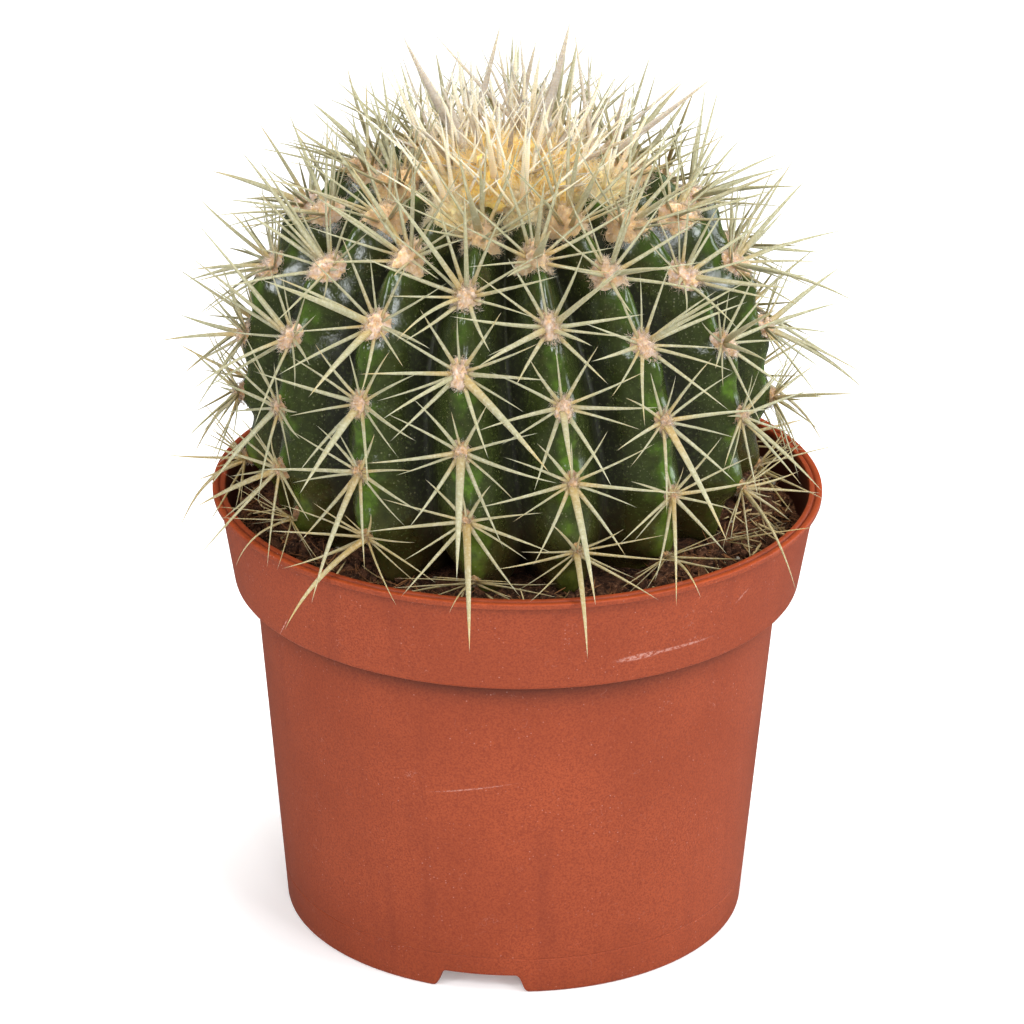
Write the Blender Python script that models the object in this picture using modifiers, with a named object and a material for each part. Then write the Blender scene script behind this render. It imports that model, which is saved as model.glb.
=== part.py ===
"""Potted golden barrel cactus.

A ribbed, globe-shaped cactus stands in potting soil, in a moulded plastic nursery pot with a thick
rim band, a lip, drain holes and a notched foot ring. The green body, the woolly pads along its ribs,
their spines and the tapered root are fused in one solid. The golden crown, a cap of wool with the
young spines that stand up from it, is a second one. The plant leans a little and its ribs turn a
little, as a live plant's do.

Metres, +Z up. The origin is on the pot's axis, on the surface that the pot stands on. The front,
where azimuth is 0, looks along -Y, and azimuth grows towards +X.
"""

from math import ceil, cos, hypot, pi, radians, sin

import bmesh
import bpy
import numpy as np
from mathutils import Euler, Matrix, Vector

MM = 0.001
GAP = 0.4 * MM

# Pot: radii and heights of the moulded shell
POT_HEIGHT = 89.5 * MM
LIP_RADIUS = 60.0 * MM
LIP_WIDTH = 2.2 * MM
LIP_DEPTH = 1.1 * MM
LIP_EDGE = 0.4 * MM
BAND_TOP_RADIUS = 58.7 * MM
BAND_BOTTOM_RADIUS = 55.8 * MM
BAND_BOTTOM = 70.0 * MM
BAND_EDGE = 0.7 * MM
WALL_TOP_RADIUS = 51.8 * MM
BASE_RADIUS = 46.0 * MM
WALL = 1.2 * MM
FOOT_WIDTH = 1.8 * MM
FLOOR_UNDERSIDE = 4.0 * MM
FLOOR = 1.2 * MM
POT_SIDES = 40
FOOT_NOTCHES = 3
NOTCH_WIDTH = 16.5 * MM
NOTCH_HEIGHT = 3.6 * MM
NOTCH_AZIMUTH = radians(-8)
NOTCH_CORNER = 1.2 * MM
DRAIN_HOLES = 8
DRAIN_RADIUS = 3.5 * MM
DRAIN_CIRCLE = 34.0 * MM
DRAIN_SIDES = 10

# Soil: its top rises from the wall towards the plant
SOIL_AT_WALL = 79.5 * MM
SOIL_AT_PLANT = 83.0 * MM
SOIL_RINGS = (54.0 * MM, 50.0 * MM, 46.0 * MM)
SOIL_LUMPS = 0.7 * MM

# Plant: the crest curve of a rib, as a superellipse about the plant's widest level
PLANT_PLACE = Vector((-2.6, -0.5, 107.2)) * MM
PLANT_LEAN = Euler((radians(4.0), radians(0.6), 0))
PLANT_MATRIX = Matrix.LocRotScale(PLANT_PLACE, PLANT_LEAN, None)
CREST_RADIUS = 52.0 * MM
CREST_TOP = 48.4 * MM
CREST_BOTTOM = 33.0 * MM
CREST_ROUND = 0.76
CREST_RISE = 0.864
RIBS = 15
RIB_PITCH = 2 * pi / RIBS
FIRST_RIB = radians(15.4)
RIB_CROWDING = radians(2.0)
RIB_TWIST = radians(-5.5) / (50 * MM)
FURROW_DEPTH = 9.5 * MM
FURROW_FROM = 7.0 * MM
FURROW_FULL = 36.0 * MM
COLUMNS_PER_RIB = 4
BODY_RINGS = 17
ROOT_RADIUS = 9.0 * MM
ROOT_TIP = 3.0 * MM
ROOT_LENGTH = 26.0 * MM

# Areoles: woolly pads, one step apart along each crest, each rib shifted by two fifths of a step
AREOLE_STEP = 14.9 * MM
AREOLE_FIRST = 0.05
AREOLE_SHIFT = 0.4
AREOLES_FROM = 20.5 * MM
AREOLES_TO = 100.0 * MM
PAD_YOUNG = 3.9 * MM
PAD_OLD = 2.2 * MM
PAD_HEIGHT = 1.3 * MM
PAD_SUNK = 2.4 * MM
PAD_SIDES = 6

# Spines: angle from the crown direction round the pad, lift off the skin, and length
SEED = 11
RADIAL_SPINES = (
    (30, 24, 12.0),
    (90, 20, 15.5),
    (150, 20, 16.5),
    (210, 20, 16.5),
    (270, 20, 15.5),
    (330, 24, 12.0),
)
CENTRAL_SPINES = ((180, 42, 24.0), (10, 62, 14.0))
YOUNG_LIFT = radians(32)
YOUNG_LENGTH = 19.0 * MM
RADIAL_THICKNESS = 0.5 * MM
CENTRAL_THICKNESS = 0.7 * MM
SPINE_SUNK = 1.8 * MM
SPINE_REACH = 69.0 * MM
POT_CLEARANCE = 1.4 * MM
LIFT_STEP = radians(5)

# Crown: a cap of wool with a brush of young spines
CROWN_RADIUS = 16.5 * MM
CROWN_HEIGHT = 4.6 * MM
CROWN_EDGE = 0.6 * MM
CROWN_SIDES = 12
CROWN_SPINES = 130
CROWN_SPREAD = 14.8 * MM
CROWN_LENGTH = (16.0 * MM, 24.0 * MM)
CROWN_THICKNESS = 0.6 * MM
CROWN_LEAN = radians(52)
CROWN_SUNK = 1.0 * MM
SPINE_APART = 1.5 * MM
GOLDEN_ANGLE = pi * (3 - 5**0.5)


# Helpers


def clear_scene():
    for obj in list(bpy.data.objects):
        bpy.data.objects.remove(obj, do_unlink=True)


def new_collection(name):
    made = bpy.data.collections.new(name)
    bpy.context.scene.collection.children.link(made)
    return made


def material(name, colour, roughness):
    made = bpy.data.materials.new(name)
    made.use_nodes = True
    shader = made.node_tree.nodes["Principled BSDF"]
    shader.inputs["Base Color"].default_value = (*colour, 1)
    shader.inputs["Roughness"].default_value = roughness
    shader.inputs["Metallic"].default_value = 0.0
    return made


def new_object(name, mesh, collection):
    obj = bpy.data.objects.new(name, mesh)
    collection.objects.link(obj)
    return obj


def paint(mesh, looks, slot=0):
    """Gives the mesh these materials, with every face in one of the slots."""
    for look in looks:
        mesh.materials.append(look)
    mesh.polygons.foreach_set("material_index", [slot] * len(mesh.polygons))


def shade(mesh):
    """Round faces smooth, with true edges left sharp."""
    mesh.shade_smooth()
    mesh.set_sharp_from_angle(angle=radians(30))


def mesh_from_bmesh(name, shape):
    mesh = bpy.data.meshes.new(name)
    shape.to_mesh(mesh)
    shape.free()
    return mesh


def frozen(obj):
    """Replaces the object's modifiers by the mesh that they make."""
    bpy.context.view_layer.update()
    seen = obj.evaluated_get(bpy.context.evaluated_depsgraph_get())
    mesh = bpy.data.meshes.new_from_object(seen)
    obj.modifiers.clear()
    obj.data = mesh
    return obj


def turned(name, outline, sides, collection):
    """A body turned about Z from an outline of (radius, height), from the axis and back to it."""
    mesh = bpy.data.meshes.new(name)
    edges = [(i, i + 1) for i in range(len(outline) - 1)]
    mesh.from_pydata([(r, 0, z) for r, z in outline], edges, [])
    obj = new_object(name, mesh, collection)
    screw = obj.modifiers.new("turn", "SCREW")
    screw.steps = sides
    screw.render_steps = sides
    screw.use_merge_vertices = True
    screw.merge_threshold = 0.0001 * MM
    return frozen(obj)


def cut(target, cutters):
    """Takes every object in the collection away from the target, by a modifier that stays on it."""
    for obj in cutters.objects:
        obj.hide_render = True
        obj.display_type = "WIRE"
    modifier = target.modifiers.new("cut", "BOOLEAN")
    modifier.operation = "DIFFERENCE"
    modifier.operand_type = "COLLECTION"
    modifier.collection = cutters


def fuse(target, pieces):
    """Joins every object in the collection to the target, and removes them."""
    bpy.context.view_layer.update()
    modifier = target.modifiers.new("fuse", "BOOLEAN")
    modifier.operation = "UNION"
    modifier.solver = "MANIFOLD"
    modifier.operand_type = "COLLECTION"
    modifier.collection = pieces
    frozen(target)
    keep_skin(target.data)
    for obj in list(pieces.objects):
        bpy.data.objects.remove(obj, do_unlink=True)
    bpy.data.collections.remove(pieces)


def keep_skin(mesh):
    """Keeps the largest connected surface, and so fills any small hollow that fused shapes seal in."""
    shape = bmesh.new()
    shape.from_mesh(mesh)
    left = set(shape.verts)
    islands = []
    while left:
        island, edge_of = set(), [left.pop()]
        while edge_of:
            vertex = edge_of.pop()
            island.add(vertex)
            near = {edge.other_vert(vertex) for edge in vertex.link_edges} & left
            left -= near
            edge_of += near
        islands.append(island)
    skin = max(islands, key=len)
    loose = [vertex for vertex in shape.verts if vertex not in skin]
    bmesh.ops.delete(shape, geom=loose, context="VERTS")
    shape.to_mesh(mesh)
    shape.free()


def around(radius, azimuth, height):
    return Vector((radius * sin(azimuth), -radius * cos(azimuth), height))


# Pot


def wall_radius(height, inset=0.0):
    """Radius of the tapered wall's outer face, moved inwards by the inset."""
    share = height / BAND_BOTTOM
    return BASE_RADIUS + (WALL_TOP_RADIUS - BASE_RADIUS) * share - inset


def band_radius(height, inset=0.0):
    """Radius of the rim band's outer face, moved inwards by the inset."""
    share = (height - BAND_BOTTOM) / (POT_HEIGHT - LIP_DEPTH - BAND_BOTTOM)
    return BAND_BOTTOM_RADIUS + (BAND_TOP_RADIUS - BAND_BOTTOM_RADIUS) * share - inset


def pot_outline():
    """The shell's section: up the inside from the floor to the lip, and down the outside to the foot."""
    lip_underside = POT_HEIGHT - LIP_DEPTH
    floor_top = FLOOR_UNDERSIDE + FLOOR
    ledge = BAND_BOTTOM + WALL
    inside = [
        (0, floor_top),
        (wall_radius(floor_top, WALL) - BAND_EDGE, floor_top),
        (wall_radius(floor_top + BAND_EDGE, WALL), floor_top + BAND_EDGE),
        (wall_radius(BAND_BOTTOM, WALL), BAND_BOTTOM - BAND_EDGE),
        (band_radius(ledge, WALL), ledge),
        (LIP_RADIUS - LIP_WIDTH, POT_HEIGHT - LIP_EDGE),
        (LIP_RADIUS - LIP_WIDTH + LIP_EDGE, POT_HEIGHT),
    ]
    outside = [
        (LIP_RADIUS - LIP_EDGE, POT_HEIGHT),
        (LIP_RADIUS, POT_HEIGHT - LIP_EDGE),
        (LIP_RADIUS, lip_underside),
        (band_radius(lip_underside), lip_underside - LIP_EDGE),
        (band_radius(BAND_BOTTOM), BAND_BOTTOM + BAND_EDGE),
        (band_radius(BAND_BOTTOM) - BAND_EDGE, BAND_BOTTOM),
        (wall_radius(BAND_BOTTOM), BAND_BOTTOM - BAND_EDGE),
        (BASE_RADIUS, LIP_EDGE),
        (BASE_RADIUS - LIP_EDGE, 0),
        (BASE_RADIUS - FOOT_WIDTH, 0),
        (BASE_RADIUS - FOOT_WIDTH, FLOOR_UNDERSIDE),
        (0, FLOOR_UNDERSIDE),
    ]
    return inside + outside


def foot_notch(index, mesh, collection):
    """A block across the foot ring, where the notch lets water out from under the pot."""
    azimuth = NOTCH_AZIMUTH + index * 2 * pi / FOOT_NOTCHES
    notch = new_object(f"notch_{index}", mesh, collection)
    notch.location = around(BASE_RADIUS, azimuth, 0)
    notch.rotation_euler = (0, 0, azimuth)


def drain_hole(index, mesh, collection):
    azimuth = (index + 0.5) * 2 * pi / DRAIN_HOLES
    hole = new_object(f"drain_{index}", mesh, collection)
    hole.location = around(DRAIN_CIRCLE, azimuth, FLOOR_UNDERSIDE + FLOOR / 2)


def notch_block():
    """A block as wide as the notch, with its edges that cross the foot ring rounded."""
    block = bmesh.new()
    bmesh.ops.create_cube(block, size=1)
    size = (NOTCH_WIDTH, 6 * FOOT_WIDTH, 2 * NOTCH_HEIGHT, 1)
    bmesh.ops.transform(block, matrix=Matrix.Diagonal(size), verts=block.verts)
    across = [edge for edge in block.edges if abs(edge.verts[0].co.y - edge.verts[1].co.y) > FOOT_WIDTH]
    bmesh.ops.bevel(block, geom=across, offset=NOTCH_CORNER, segments=2, profile=0.5, affect="EDGES")
    return mesh_from_bmesh("notch", block)


def drill():
    shape = bmesh.new()
    bmesh.ops.create_cone(shape, cap_ends=True, segments=DRAIN_SIDES, radius1=DRAIN_RADIUS,
                          radius2=DRAIN_RADIUS, depth=4 * FLOOR)
    return mesh_from_bmesh("drain", shape)


def make_pot(parts):
    pot = turned("pot", pot_outline(), POT_SIDES, parts)
    paint(pot.data, [material("pot_plastic", (0.46, 0.105, 0.05), 0.5)])
    shade(pot.data)
    cutters = new_collection("pot_cutters")
    notch_mesh = notch_block()
    drain_mesh = drill()
    for index in range(FOOT_NOTCHES):
        foot_notch(index, notch_mesh, cutters)
    for index in range(DRAIN_HOLES):
        drain_hole(index, drain_mesh, cutters)
    cut(pot, cutters)


# Soil


def soil_outline():
    """The pot's inside, a gap smaller, closed by a top that rises towards the plant."""
    inset = WALL + GAP
    bottom = FLOOR_UNDERSIDE + FLOOR + GAP
    ledge = BAND_BOTTOM + WALL + GAP
    rise = (SOIL_AT_PLANT - SOIL_AT_WALL) / (len(SOIL_RINGS) - 1)
    top = [(radius, SOIL_AT_WALL + i * rise) for i, radius in enumerate(SOIL_RINGS)]
    side = [
        (band_radius(SOIL_AT_WALL, inset), SOIL_AT_WALL),
        (band_radius(ledge, inset), ledge),
        (wall_radius(BAND_BOTTOM, inset), BAND_BOTTOM - BAND_EDGE + GAP),
        (wall_radius(bottom + BAND_EDGE, inset), bottom + BAND_EDGE),
        (wall_radius(bottom, inset) - BAND_EDGE, bottom),
        (0, bottom),
    ]
    return [(0, SOIL_AT_PLANT), *reversed(top), *side]


def roughen(mesh):
    """Lifts and lowers the soil's top in low waves of three directions."""
    for vertex in mesh.vertices:
        if vertex.co.z > SOIL_AT_WALL + 0.1 * MM:
            x, y, _ = vertex.co / MM
            wave = sin(0.9 * x + 0.4 * y) + sin(1.3 * y - 0.7 * x + 1) + sin(0.5 * x - 1.1 * y + 2)
            vertex.co.z += SOIL_LUMPS * wave / 2


def socket_outline():
    """The plain hole that the plant stands in, a gap wider than its crests and its root."""
    grow = GAP + CREST_RADIUS * (1 / cos(pi / POT_SIDES) - 1)
    levels = np.radians(np.linspace(-12, -80, 9))
    wall = [(r + grow, z - GAP) for r, z in (crest(t) for t in levels)]
    floor = -CREST_BOTTOM - GAP
    root = [(ROOT_RADIUS + grow, floor), (ROOT_TIP + grow, -CREST_BOTTOM - ROOT_LENGTH - GAP)]
    return [(0, wall[0][1]), *wall, *root, (0, root[-1][1])]


def make_soil(parts):
    soil = turned("soil", soil_outline(), POT_SIDES, parts)
    paint(soil.data, [material("soil", (0.05, 0.028, 0.018), 0.95)])
    roughen(soil.data)
    cutters = new_collection("soil_cutters")
    socket = turned("socket", socket_outline(), POT_SIDES, cutters)
    socket.location = PLANT_PLACE
    socket.rotation_euler = PLANT_LEAN
    cut(soil, cutters)


# Plant body


def crest(level):
    """Radius and height of the rib's crest at a level from -pi/2 at the bottom to pi/2 at the crown."""
    radius = CREST_RADIUS * max(cos(level), 0.0) ** CREST_ROUND
    height = (CREST_TOP if level > 0 else CREST_BOTTOM) * abs(sin(level)) ** CREST_RISE
    return radius, height if level > 0 else -height


def crest_normal(level):
    """The crest curve's outward normal, as (radial, upward)."""
    step = 0.002
    low, high = crest(max(level - step, -pi / 2)), crest(min(level + step, pi / 2))
    out = Vector((high[1] - low[1], low[0] - high[0]))
    return out.normalized()


def rib_azimuth(turn, height):
    """Where the rib that starts at this turn lies: crowded in two waves, and twisted with height."""
    return FIRST_RIB + turn - RIB_CROWDING * sin(2 * turn + radians(14.4)) + RIB_TWIST * height


def smooth_step(value, low, high):
    share = min(max((value - low) / (high - low), 0.0), 1.0)
    return share * share * (3 - 2 * share)


def furrow(turn):
    """0 on a rib's crest and 1 in the furrow, with a round crest and straight flanks."""
    off = abs((turn / RIB_PITCH + 0.5) % 1 - 0.5) * 2
    round_off = 0.3
    return (hypot(off, round_off) - round_off) / (hypot(1, round_off) - round_off)


def body_point(turn, level):
    radius, height = crest(level)
    radial, upward = crest_normal(level)
    depth = FURROW_DEPTH * smooth_step(radius, FURROW_FROM, FURROW_FULL) * furrow(turn)
    azimuth = rib_azimuth(turn, height)
    return around(max(radius - depth * radial, 0), azimuth, height - depth * upward)


def make_body(collection):
    """A globe of rings and columns, each vertex moved to where the ribbed skin lies."""
    shape = bmesh.new()
    bmesh.ops.create_uvsphere(shape, u_segments=RIBS * COLUMNS_PER_RIB, v_segments=BODY_RINGS, radius=1)
    for vertex in shape.verts:
        level = np.arcsin(min(max(vertex.co.z, -1), 1))
        turn = np.arctan2(vertex.co.y, vertex.co.x)
        vertex.co = body_point(turn, level)
    return new_object("cactus", mesh_from_bmesh("cactus", shape), collection)


def tapered(name, sides, low, high, height):
    """A cone or a stub that stands on Z = 0."""
    shape = bmesh.new()
    bmesh.ops.create_cone(shape, cap_ends=True, segments=sides, radius1=low, radius2=high, depth=height)
    bmesh.ops.translate(shape, vec=(0, 0, height / 2), verts=shape.verts)
    return mesh_from_bmesh(name, shape)


# Areoles and spines


def crest_levels():
    """Levels down the crest at even steps, with their distance from the crown along it."""
    levels = np.linspace(pi / 2, -pi / 2, 4001)
    points = np.array([crest(level) for level in levels])
    steps = np.hypot(*np.diff(points, axis=0).T)
    return levels, np.concatenate([[0], np.cumsum(steps)])


def areole_frames():
    """For each areole: its age from 0 to 1, its place, and its outward, crownward and sideways directions."""
    levels, along = crest_levels()
    found = []
    for rib in range(RIBS):
        turn = rib * RIB_PITCH
        shift = (AREOLE_FIRST + AREOLE_SHIFT * rib) % 1
        for row in range(ceil(AREOLES_TO / AREOLE_STEP) + 1):
            distance = (row + shift) * AREOLE_STEP
            if not AREOLES_FROM <= distance <= AREOLES_TO:
                continue
            level = float(np.interp(distance, along, levels))
            radial, upward = crest_normal(level)
            place = body_point(turn, level)
            azimuth = rib_azimuth(turn, place.z)
            outward = around(radial, azimuth, upward).normalized()
            crownward = around(-upward, azimuth, radial).normalized()
            age = (distance - AREOLES_FROM) / (AREOLES_TO - AREOLES_FROM)
            found.append((age, place, outward, crownward, crownward.cross(outward)))
    return found


def frame_matrix(place, forward, side, scale):
    """A matrix whose Z runs along the forward direction."""
    forward = forward.normalized()
    across = (side - forward * side.dot(forward)).normalized()
    turn = Matrix((across, forward.cross(across), forward)).transposed().to_4x4()
    return Matrix.Translation(place) @ turn @ Matrix.Diagonal((*scale, 1))


def pad_radius(age):
    """Young pads near the crown are wide and woolly, and old ones are worn small."""
    return PAD_OLD + (PAD_YOUNG - PAD_OLD) * (1 - age) ** 2.2


def in_the_pot(place):
    """Whether a point of the plant, in its own frame, comes too near the pot or the soil."""
    where = PLANT_MATRIX @ place
    radius = hypot(where.x, where.y)
    over_soil = where.z > SOIL_AT_PLANT + 2 * POT_CLEARANCE
    over_lip = where.z > POT_HEIGHT + POT_CLEARANCE
    inside = radius < LIP_RADIUS - LIP_WIDTH - POT_CLEARANCE
    outside = radius > LIP_RADIUS + POT_CLEARANCE
    return not (over_lip or outside or (inside and over_soil))


def beyond_reach(place):
    where = PLANT_MATRIX @ place
    return hypot(where.x, where.y) > SPINE_REACH


def bent_clear(root, direction, crownward, length):
    """Turns a spine crownward, step by step, until none of it is near the pot or the soil.

    Every root lies clear of them. The tip is then drawn in to the reach.
    """
    turn = Matrix.Rotation(LIFT_STEP, 3, direction.cross(crownward))
    while any(in_the_pot(root + direction * length * share) for share in np.linspace(0, 1, 30)):
        direction = turn @ direction
    while beyond_reach(root + direction * length):
        length *= 0.97
    return direction, length


def spine(name, mesh, collection, root, direction, length, thickness, sunk):
    made = new_object(name, mesh, collection)
    side = Vector((direction.y, -direction.x, 0.1))
    scale = (thickness, thickness, length + sunk)
    made.matrix_world = frame_matrix(root - direction * sunk, direction, side, scale)


def areole(number, frame, meshes, collection, draw):
    """A woolly pad, with a radial spine out of each of its sides and the central spines out of its top.

    It gives back each spine as its root and its tip.
    """
    age, place, outward, crownward, sideways = frame
    radius = pad_radius(age)
    pad = new_object(f"pad_{number}", meshes["pad"], collection)
    height = PAD_SUNK + PAD_HEIGHT
    size = (radius, 1.15 * radius, height)
    pad.matrix_world = frame_matrix(place - outward * PAD_SUNK, outward, sideways, size)
    grown = []
    for index, (around_pad, lift, length) in enumerate((*RADIAL_SPINES, *CENTRAL_SPINES)):
        central = index >= len(RADIAL_SPINES)
        turn = radians(around_pad + draw.uniform(-7, 7))
        rise = radians(lift + draw.uniform(-4, 6)) + YOUNG_LIFT * (1 - age) ** 3
        flat = crownward * cos(turn) + sideways * sin(turn)
        direction = flat * cos(rise) + outward * sin(rise)
        out, up = (0.25, 1.0) if central else (0.7, 0.5)
        root = place + outward * up * PAD_HEIGHT + flat * radius * out
        full = length * MM + (YOUNG_LENGTH - length * MM) * (1 - age) ** 3
        direction, reach = bent_clear(root, direction, crownward, full * draw.uniform(0.88, 1.1))
        thickness = CENTRAL_THICKNESS if central else RADIAL_THICKNESS
        name = f"spine_{number}_{index}"
        spine(name, meshes["needle"], collection, root, direction, reach, thickness, SPINE_SUNK)
        grown.append((root, root + direction * reach))
    return grown


def make_cactus(parts, looks):
    """The green plant, with its areoles. It gives back every spine as its root and its tip."""
    draw = np.random.default_rng(SEED)
    growth = new_collection("growth")
    cactus = make_body(parts)
    paint(cactus.data, looks, 0)
    shade(cactus.data)
    pad, needle = tapered("pad", PAD_SIDES, 1.0, 0.66, 1.0), tapered("needle", 3, 1.0, 0.0, 1.0)
    meshes = {"pad": pad, "needle": needle}
    paint(pad, looks, 1)
    paint(needle, looks, 2)
    root = new_object("root", tapered("root", 8, ROOT_TIP, ROOT_RADIUS, ROOT_LENGTH + 4 * MM), growth)
    root.location = (0, 0, -CREST_BOTTOM - ROOT_LENGTH)
    paint(root.data, looks, 0)
    grown = []
    for number, frame in enumerate(areole_frames()):
        grown += areole(number, frame, meshes, growth, draw)
    fuse(cactus, growth)
    cactus.matrix_world = PLANT_MATRIX
    return grown


# Crown


def crown_top(share):
    """Height of the woolly dome at a share of its radius."""
    return CREST_TOP + CROWN_HEIGHT * (1 - share**2.4)


def crown_outline():
    """A low dome, over an underside that keeps a gap to the plant's top."""
    top = [(CROWN_RADIUS * share, crown_top(share)) for share in np.linspace(0, 1, 6)]
    underside = [(CROWN_RADIUS, CREST_TOP - CROWN_EDGE)]
    for level in np.radians((79, 90)):
        radius, height = crest(level)
        underside.append((radius, height + GAP))
    return top + underside


def far_from(start, end, spines):
    """Whether the needle from start to end keeps clear of all these spines."""
    share = np.linspace(0, 1, 24)[:, None]
    points = np.array(start) * (1 - share) + np.array(end) * share
    others = np.concatenate([np.array(a) * (1 - share) + np.array(b) * share for a, b in spines])
    nearest = np.linalg.norm(points[:, None] - others[None], axis=2).min()
    return nearest > SPINE_APART


def make_crown(parts, looks, neighbours):
    """A woolly cap and its brush, whose spines start at even steps of the golden angle.

    One that would meet a neighbour of the ribs' areoles is left out.
    """
    draw = np.random.default_rng(SEED + 1)
    brush = new_collection("brush")
    cap = turned("crown", crown_outline(), CROWN_SIDES, parts)
    paint(cap.data, looks, 1)
    needle = tapered("needle", 3, 1.0, 0.0, 1.0)
    paint(needle, looks, 2)
    near = [ends for ends in neighbours if ends[0].z > CREST_TOP / 2]
    for index in range(CROWN_SPINES):
        share = ((index + 0.5) / CROWN_SPINES) ** 0.5
        azimuth = index * GOLDEN_ANGLE
        radius = share * CROWN_SPREAD
        root = around(radius, azimuth, crown_top(radius / CROWN_RADIUS))
        lean = CROWN_LEAN * share + radians(draw.uniform(-9, 9))
        swing = azimuth + radians(draw.uniform(-25, 25))
        direction = around(sin(lean), swing, cos(lean))
        length = draw.uniform(*CROWN_LENGTH)
        if far_from(root, root + direction * length, near):
            spine(f"brush_{index}", needle, brush, root, direction, length, CROWN_THICKNESS, CROWN_SUNK)
    fuse(cap, brush)
    cap.matrix_world = PLANT_MATRIX


def main():
    clear_scene()
    parts = new_collection("potted_round_cactus")
    make_pot(parts)
    make_soil(parts)
    skin = material("cactus_skin", (0.035, 0.10, 0.03), 0.35)
    old_wool = material("areole_wool", (0.72, 0.48, 0.26), 0.95)
    young_wool = material("crown_wool", (0.75, 0.45, 0.14), 0.95)
    spines = material("spines", (0.78, 0.66, 0.36), 0.45)
    grown = make_cactus(parts, [skin, old_wool, spines])
    make_crown(parts, [skin, young_wool, spines], grown)


main()
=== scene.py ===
# %% [markdown]
# # A potted round cactus
#
# The object is a globe-shaped, ribbed cactus with woolly pads and stiff pale spines. It grows in dark
# peat in a moulded nursery pot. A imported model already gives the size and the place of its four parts:
# `pot`, `soil`, `cactus` and `crown`. This lesson dresses each of them with a finer surface that keeps
# to the same formulas, so the fine plant stands exactly where the plain one does.

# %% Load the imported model
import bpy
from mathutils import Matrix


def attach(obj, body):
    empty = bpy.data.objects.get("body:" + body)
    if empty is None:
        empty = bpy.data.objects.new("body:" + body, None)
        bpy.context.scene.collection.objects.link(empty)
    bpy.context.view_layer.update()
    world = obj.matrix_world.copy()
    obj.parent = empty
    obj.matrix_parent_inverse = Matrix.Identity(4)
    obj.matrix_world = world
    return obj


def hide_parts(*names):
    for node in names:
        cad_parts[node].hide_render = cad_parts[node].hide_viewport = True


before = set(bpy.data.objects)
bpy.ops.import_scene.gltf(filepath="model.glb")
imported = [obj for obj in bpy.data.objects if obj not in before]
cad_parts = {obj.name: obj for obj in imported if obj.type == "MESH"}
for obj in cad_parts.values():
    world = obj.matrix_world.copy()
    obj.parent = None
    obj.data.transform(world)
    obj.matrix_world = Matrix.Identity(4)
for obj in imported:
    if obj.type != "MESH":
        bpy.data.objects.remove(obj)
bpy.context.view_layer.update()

# %% [markdown]
# ## Units and helpers
#
# All sizes below are in millimetres, because that is how a pot or a spine is measured. They become
# metres in one place only, where a mesh is made.

# %% Names used everywhere
from math import cos, pi, radians, sin

import bpy
import numpy as np
from mathutils import Matrix, Vector

MM = 0.001


def srgb(red, green, blue):
    """A colour as seen on a screen, 0 to 255, in the linear values that a shader wants."""
    share = np.array([red, green, blue]) / 255
    linear = np.where(share <= 0.04045, share / 12.92, ((share + 0.055) / 1.055) ** 2.4)
    return (*linear.tolist(), 1.0)


def around(radius, azimuth, height):
    """A point at this radius from an upright axis. Azimuth 0 faces the viewer, and it grows to the right."""
    radius, azimuth, height = np.broadcast_arrays(radius, azimuth, height)
    return np.stack([radius * np.sin(azimuth), -radius * np.cos(azimuth), height], axis=-1)


def smooth_step(value, low, high):
    """Rises from 0 at low to 1 at high, along 3t^2 - 2t^3, level at both ends."""
    share = np.clip((value - low) / (high - low), 0, 1)
    return share * share * (3 - 2 * share)


def unit(vectors):
    """The same directions, each one long."""
    return vectors / np.linalg.norm(vectors, axis=-1, keepdims=True)


# %% [markdown]
# ### Natural unevenness
#
# Nothing grown or dug is smooth. Value noise gives each corner of a grid of cubes a random number, and
# blends them in between, so a whole array of points gets its bumps at once. Adding finer and finer
# copies makes it look like earth or felt.

# %% Noise for whole arrays
def value_noise(points, seed):
    """From -1 to 1: hashed numbers at the corners of unit cubes, blended by 3t^2 - 2t^3 along each axis."""
    cell = np.floor(points).astype(np.int64)
    part = points - cell
    part = part * part * (3 - 2 * part)
    total = 0.0
    for corner in np.ndindex(2, 2, 2):
        x, y, z = np.moveaxis(cell + corner, -1, 0)
        mixed = (x * 73856093) ^ (y * 19349663) ^ (z * 83492791) ^ (seed * 2654435)
        mixed = ((mixed ^ (mixed >> 13)) * 1274126177) & 0x7FFFFFFF
        mixed = ((mixed ^ (mixed >> 15)) * 2246822519) & 0x7FFFFFFF
        weight = np.where(np.array(corner, bool), part, 1 - part).prod(axis=-1)
        total = total + weight * mixed / 0x7FFFFFFF
    return 2 * total - 1


def rough_noise(points, seed, octaves=3):
    """Value noise with finer copies on top, each twice as fine and half as strong."""
    return sum(value_noise(points * 2.0**i, seed + i) / 2**i for i in range(octaves))


print("noise spread:", value_noise(np.random.default_rng(0).uniform(0, 9, (500, 3)), 1).std().round(2))

# %% [markdown]
# ### One kind of mesh for everything
#
# A pot wall, a rib, a spine and a crumb of earth are all the same thing to a computer: rings of points,
# one after another, closed by a single point at each end. So one function builds them all, from an
# array with the shape (how many, rings, points in a ring, 3). A thousand spines are then as easy as one.

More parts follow.
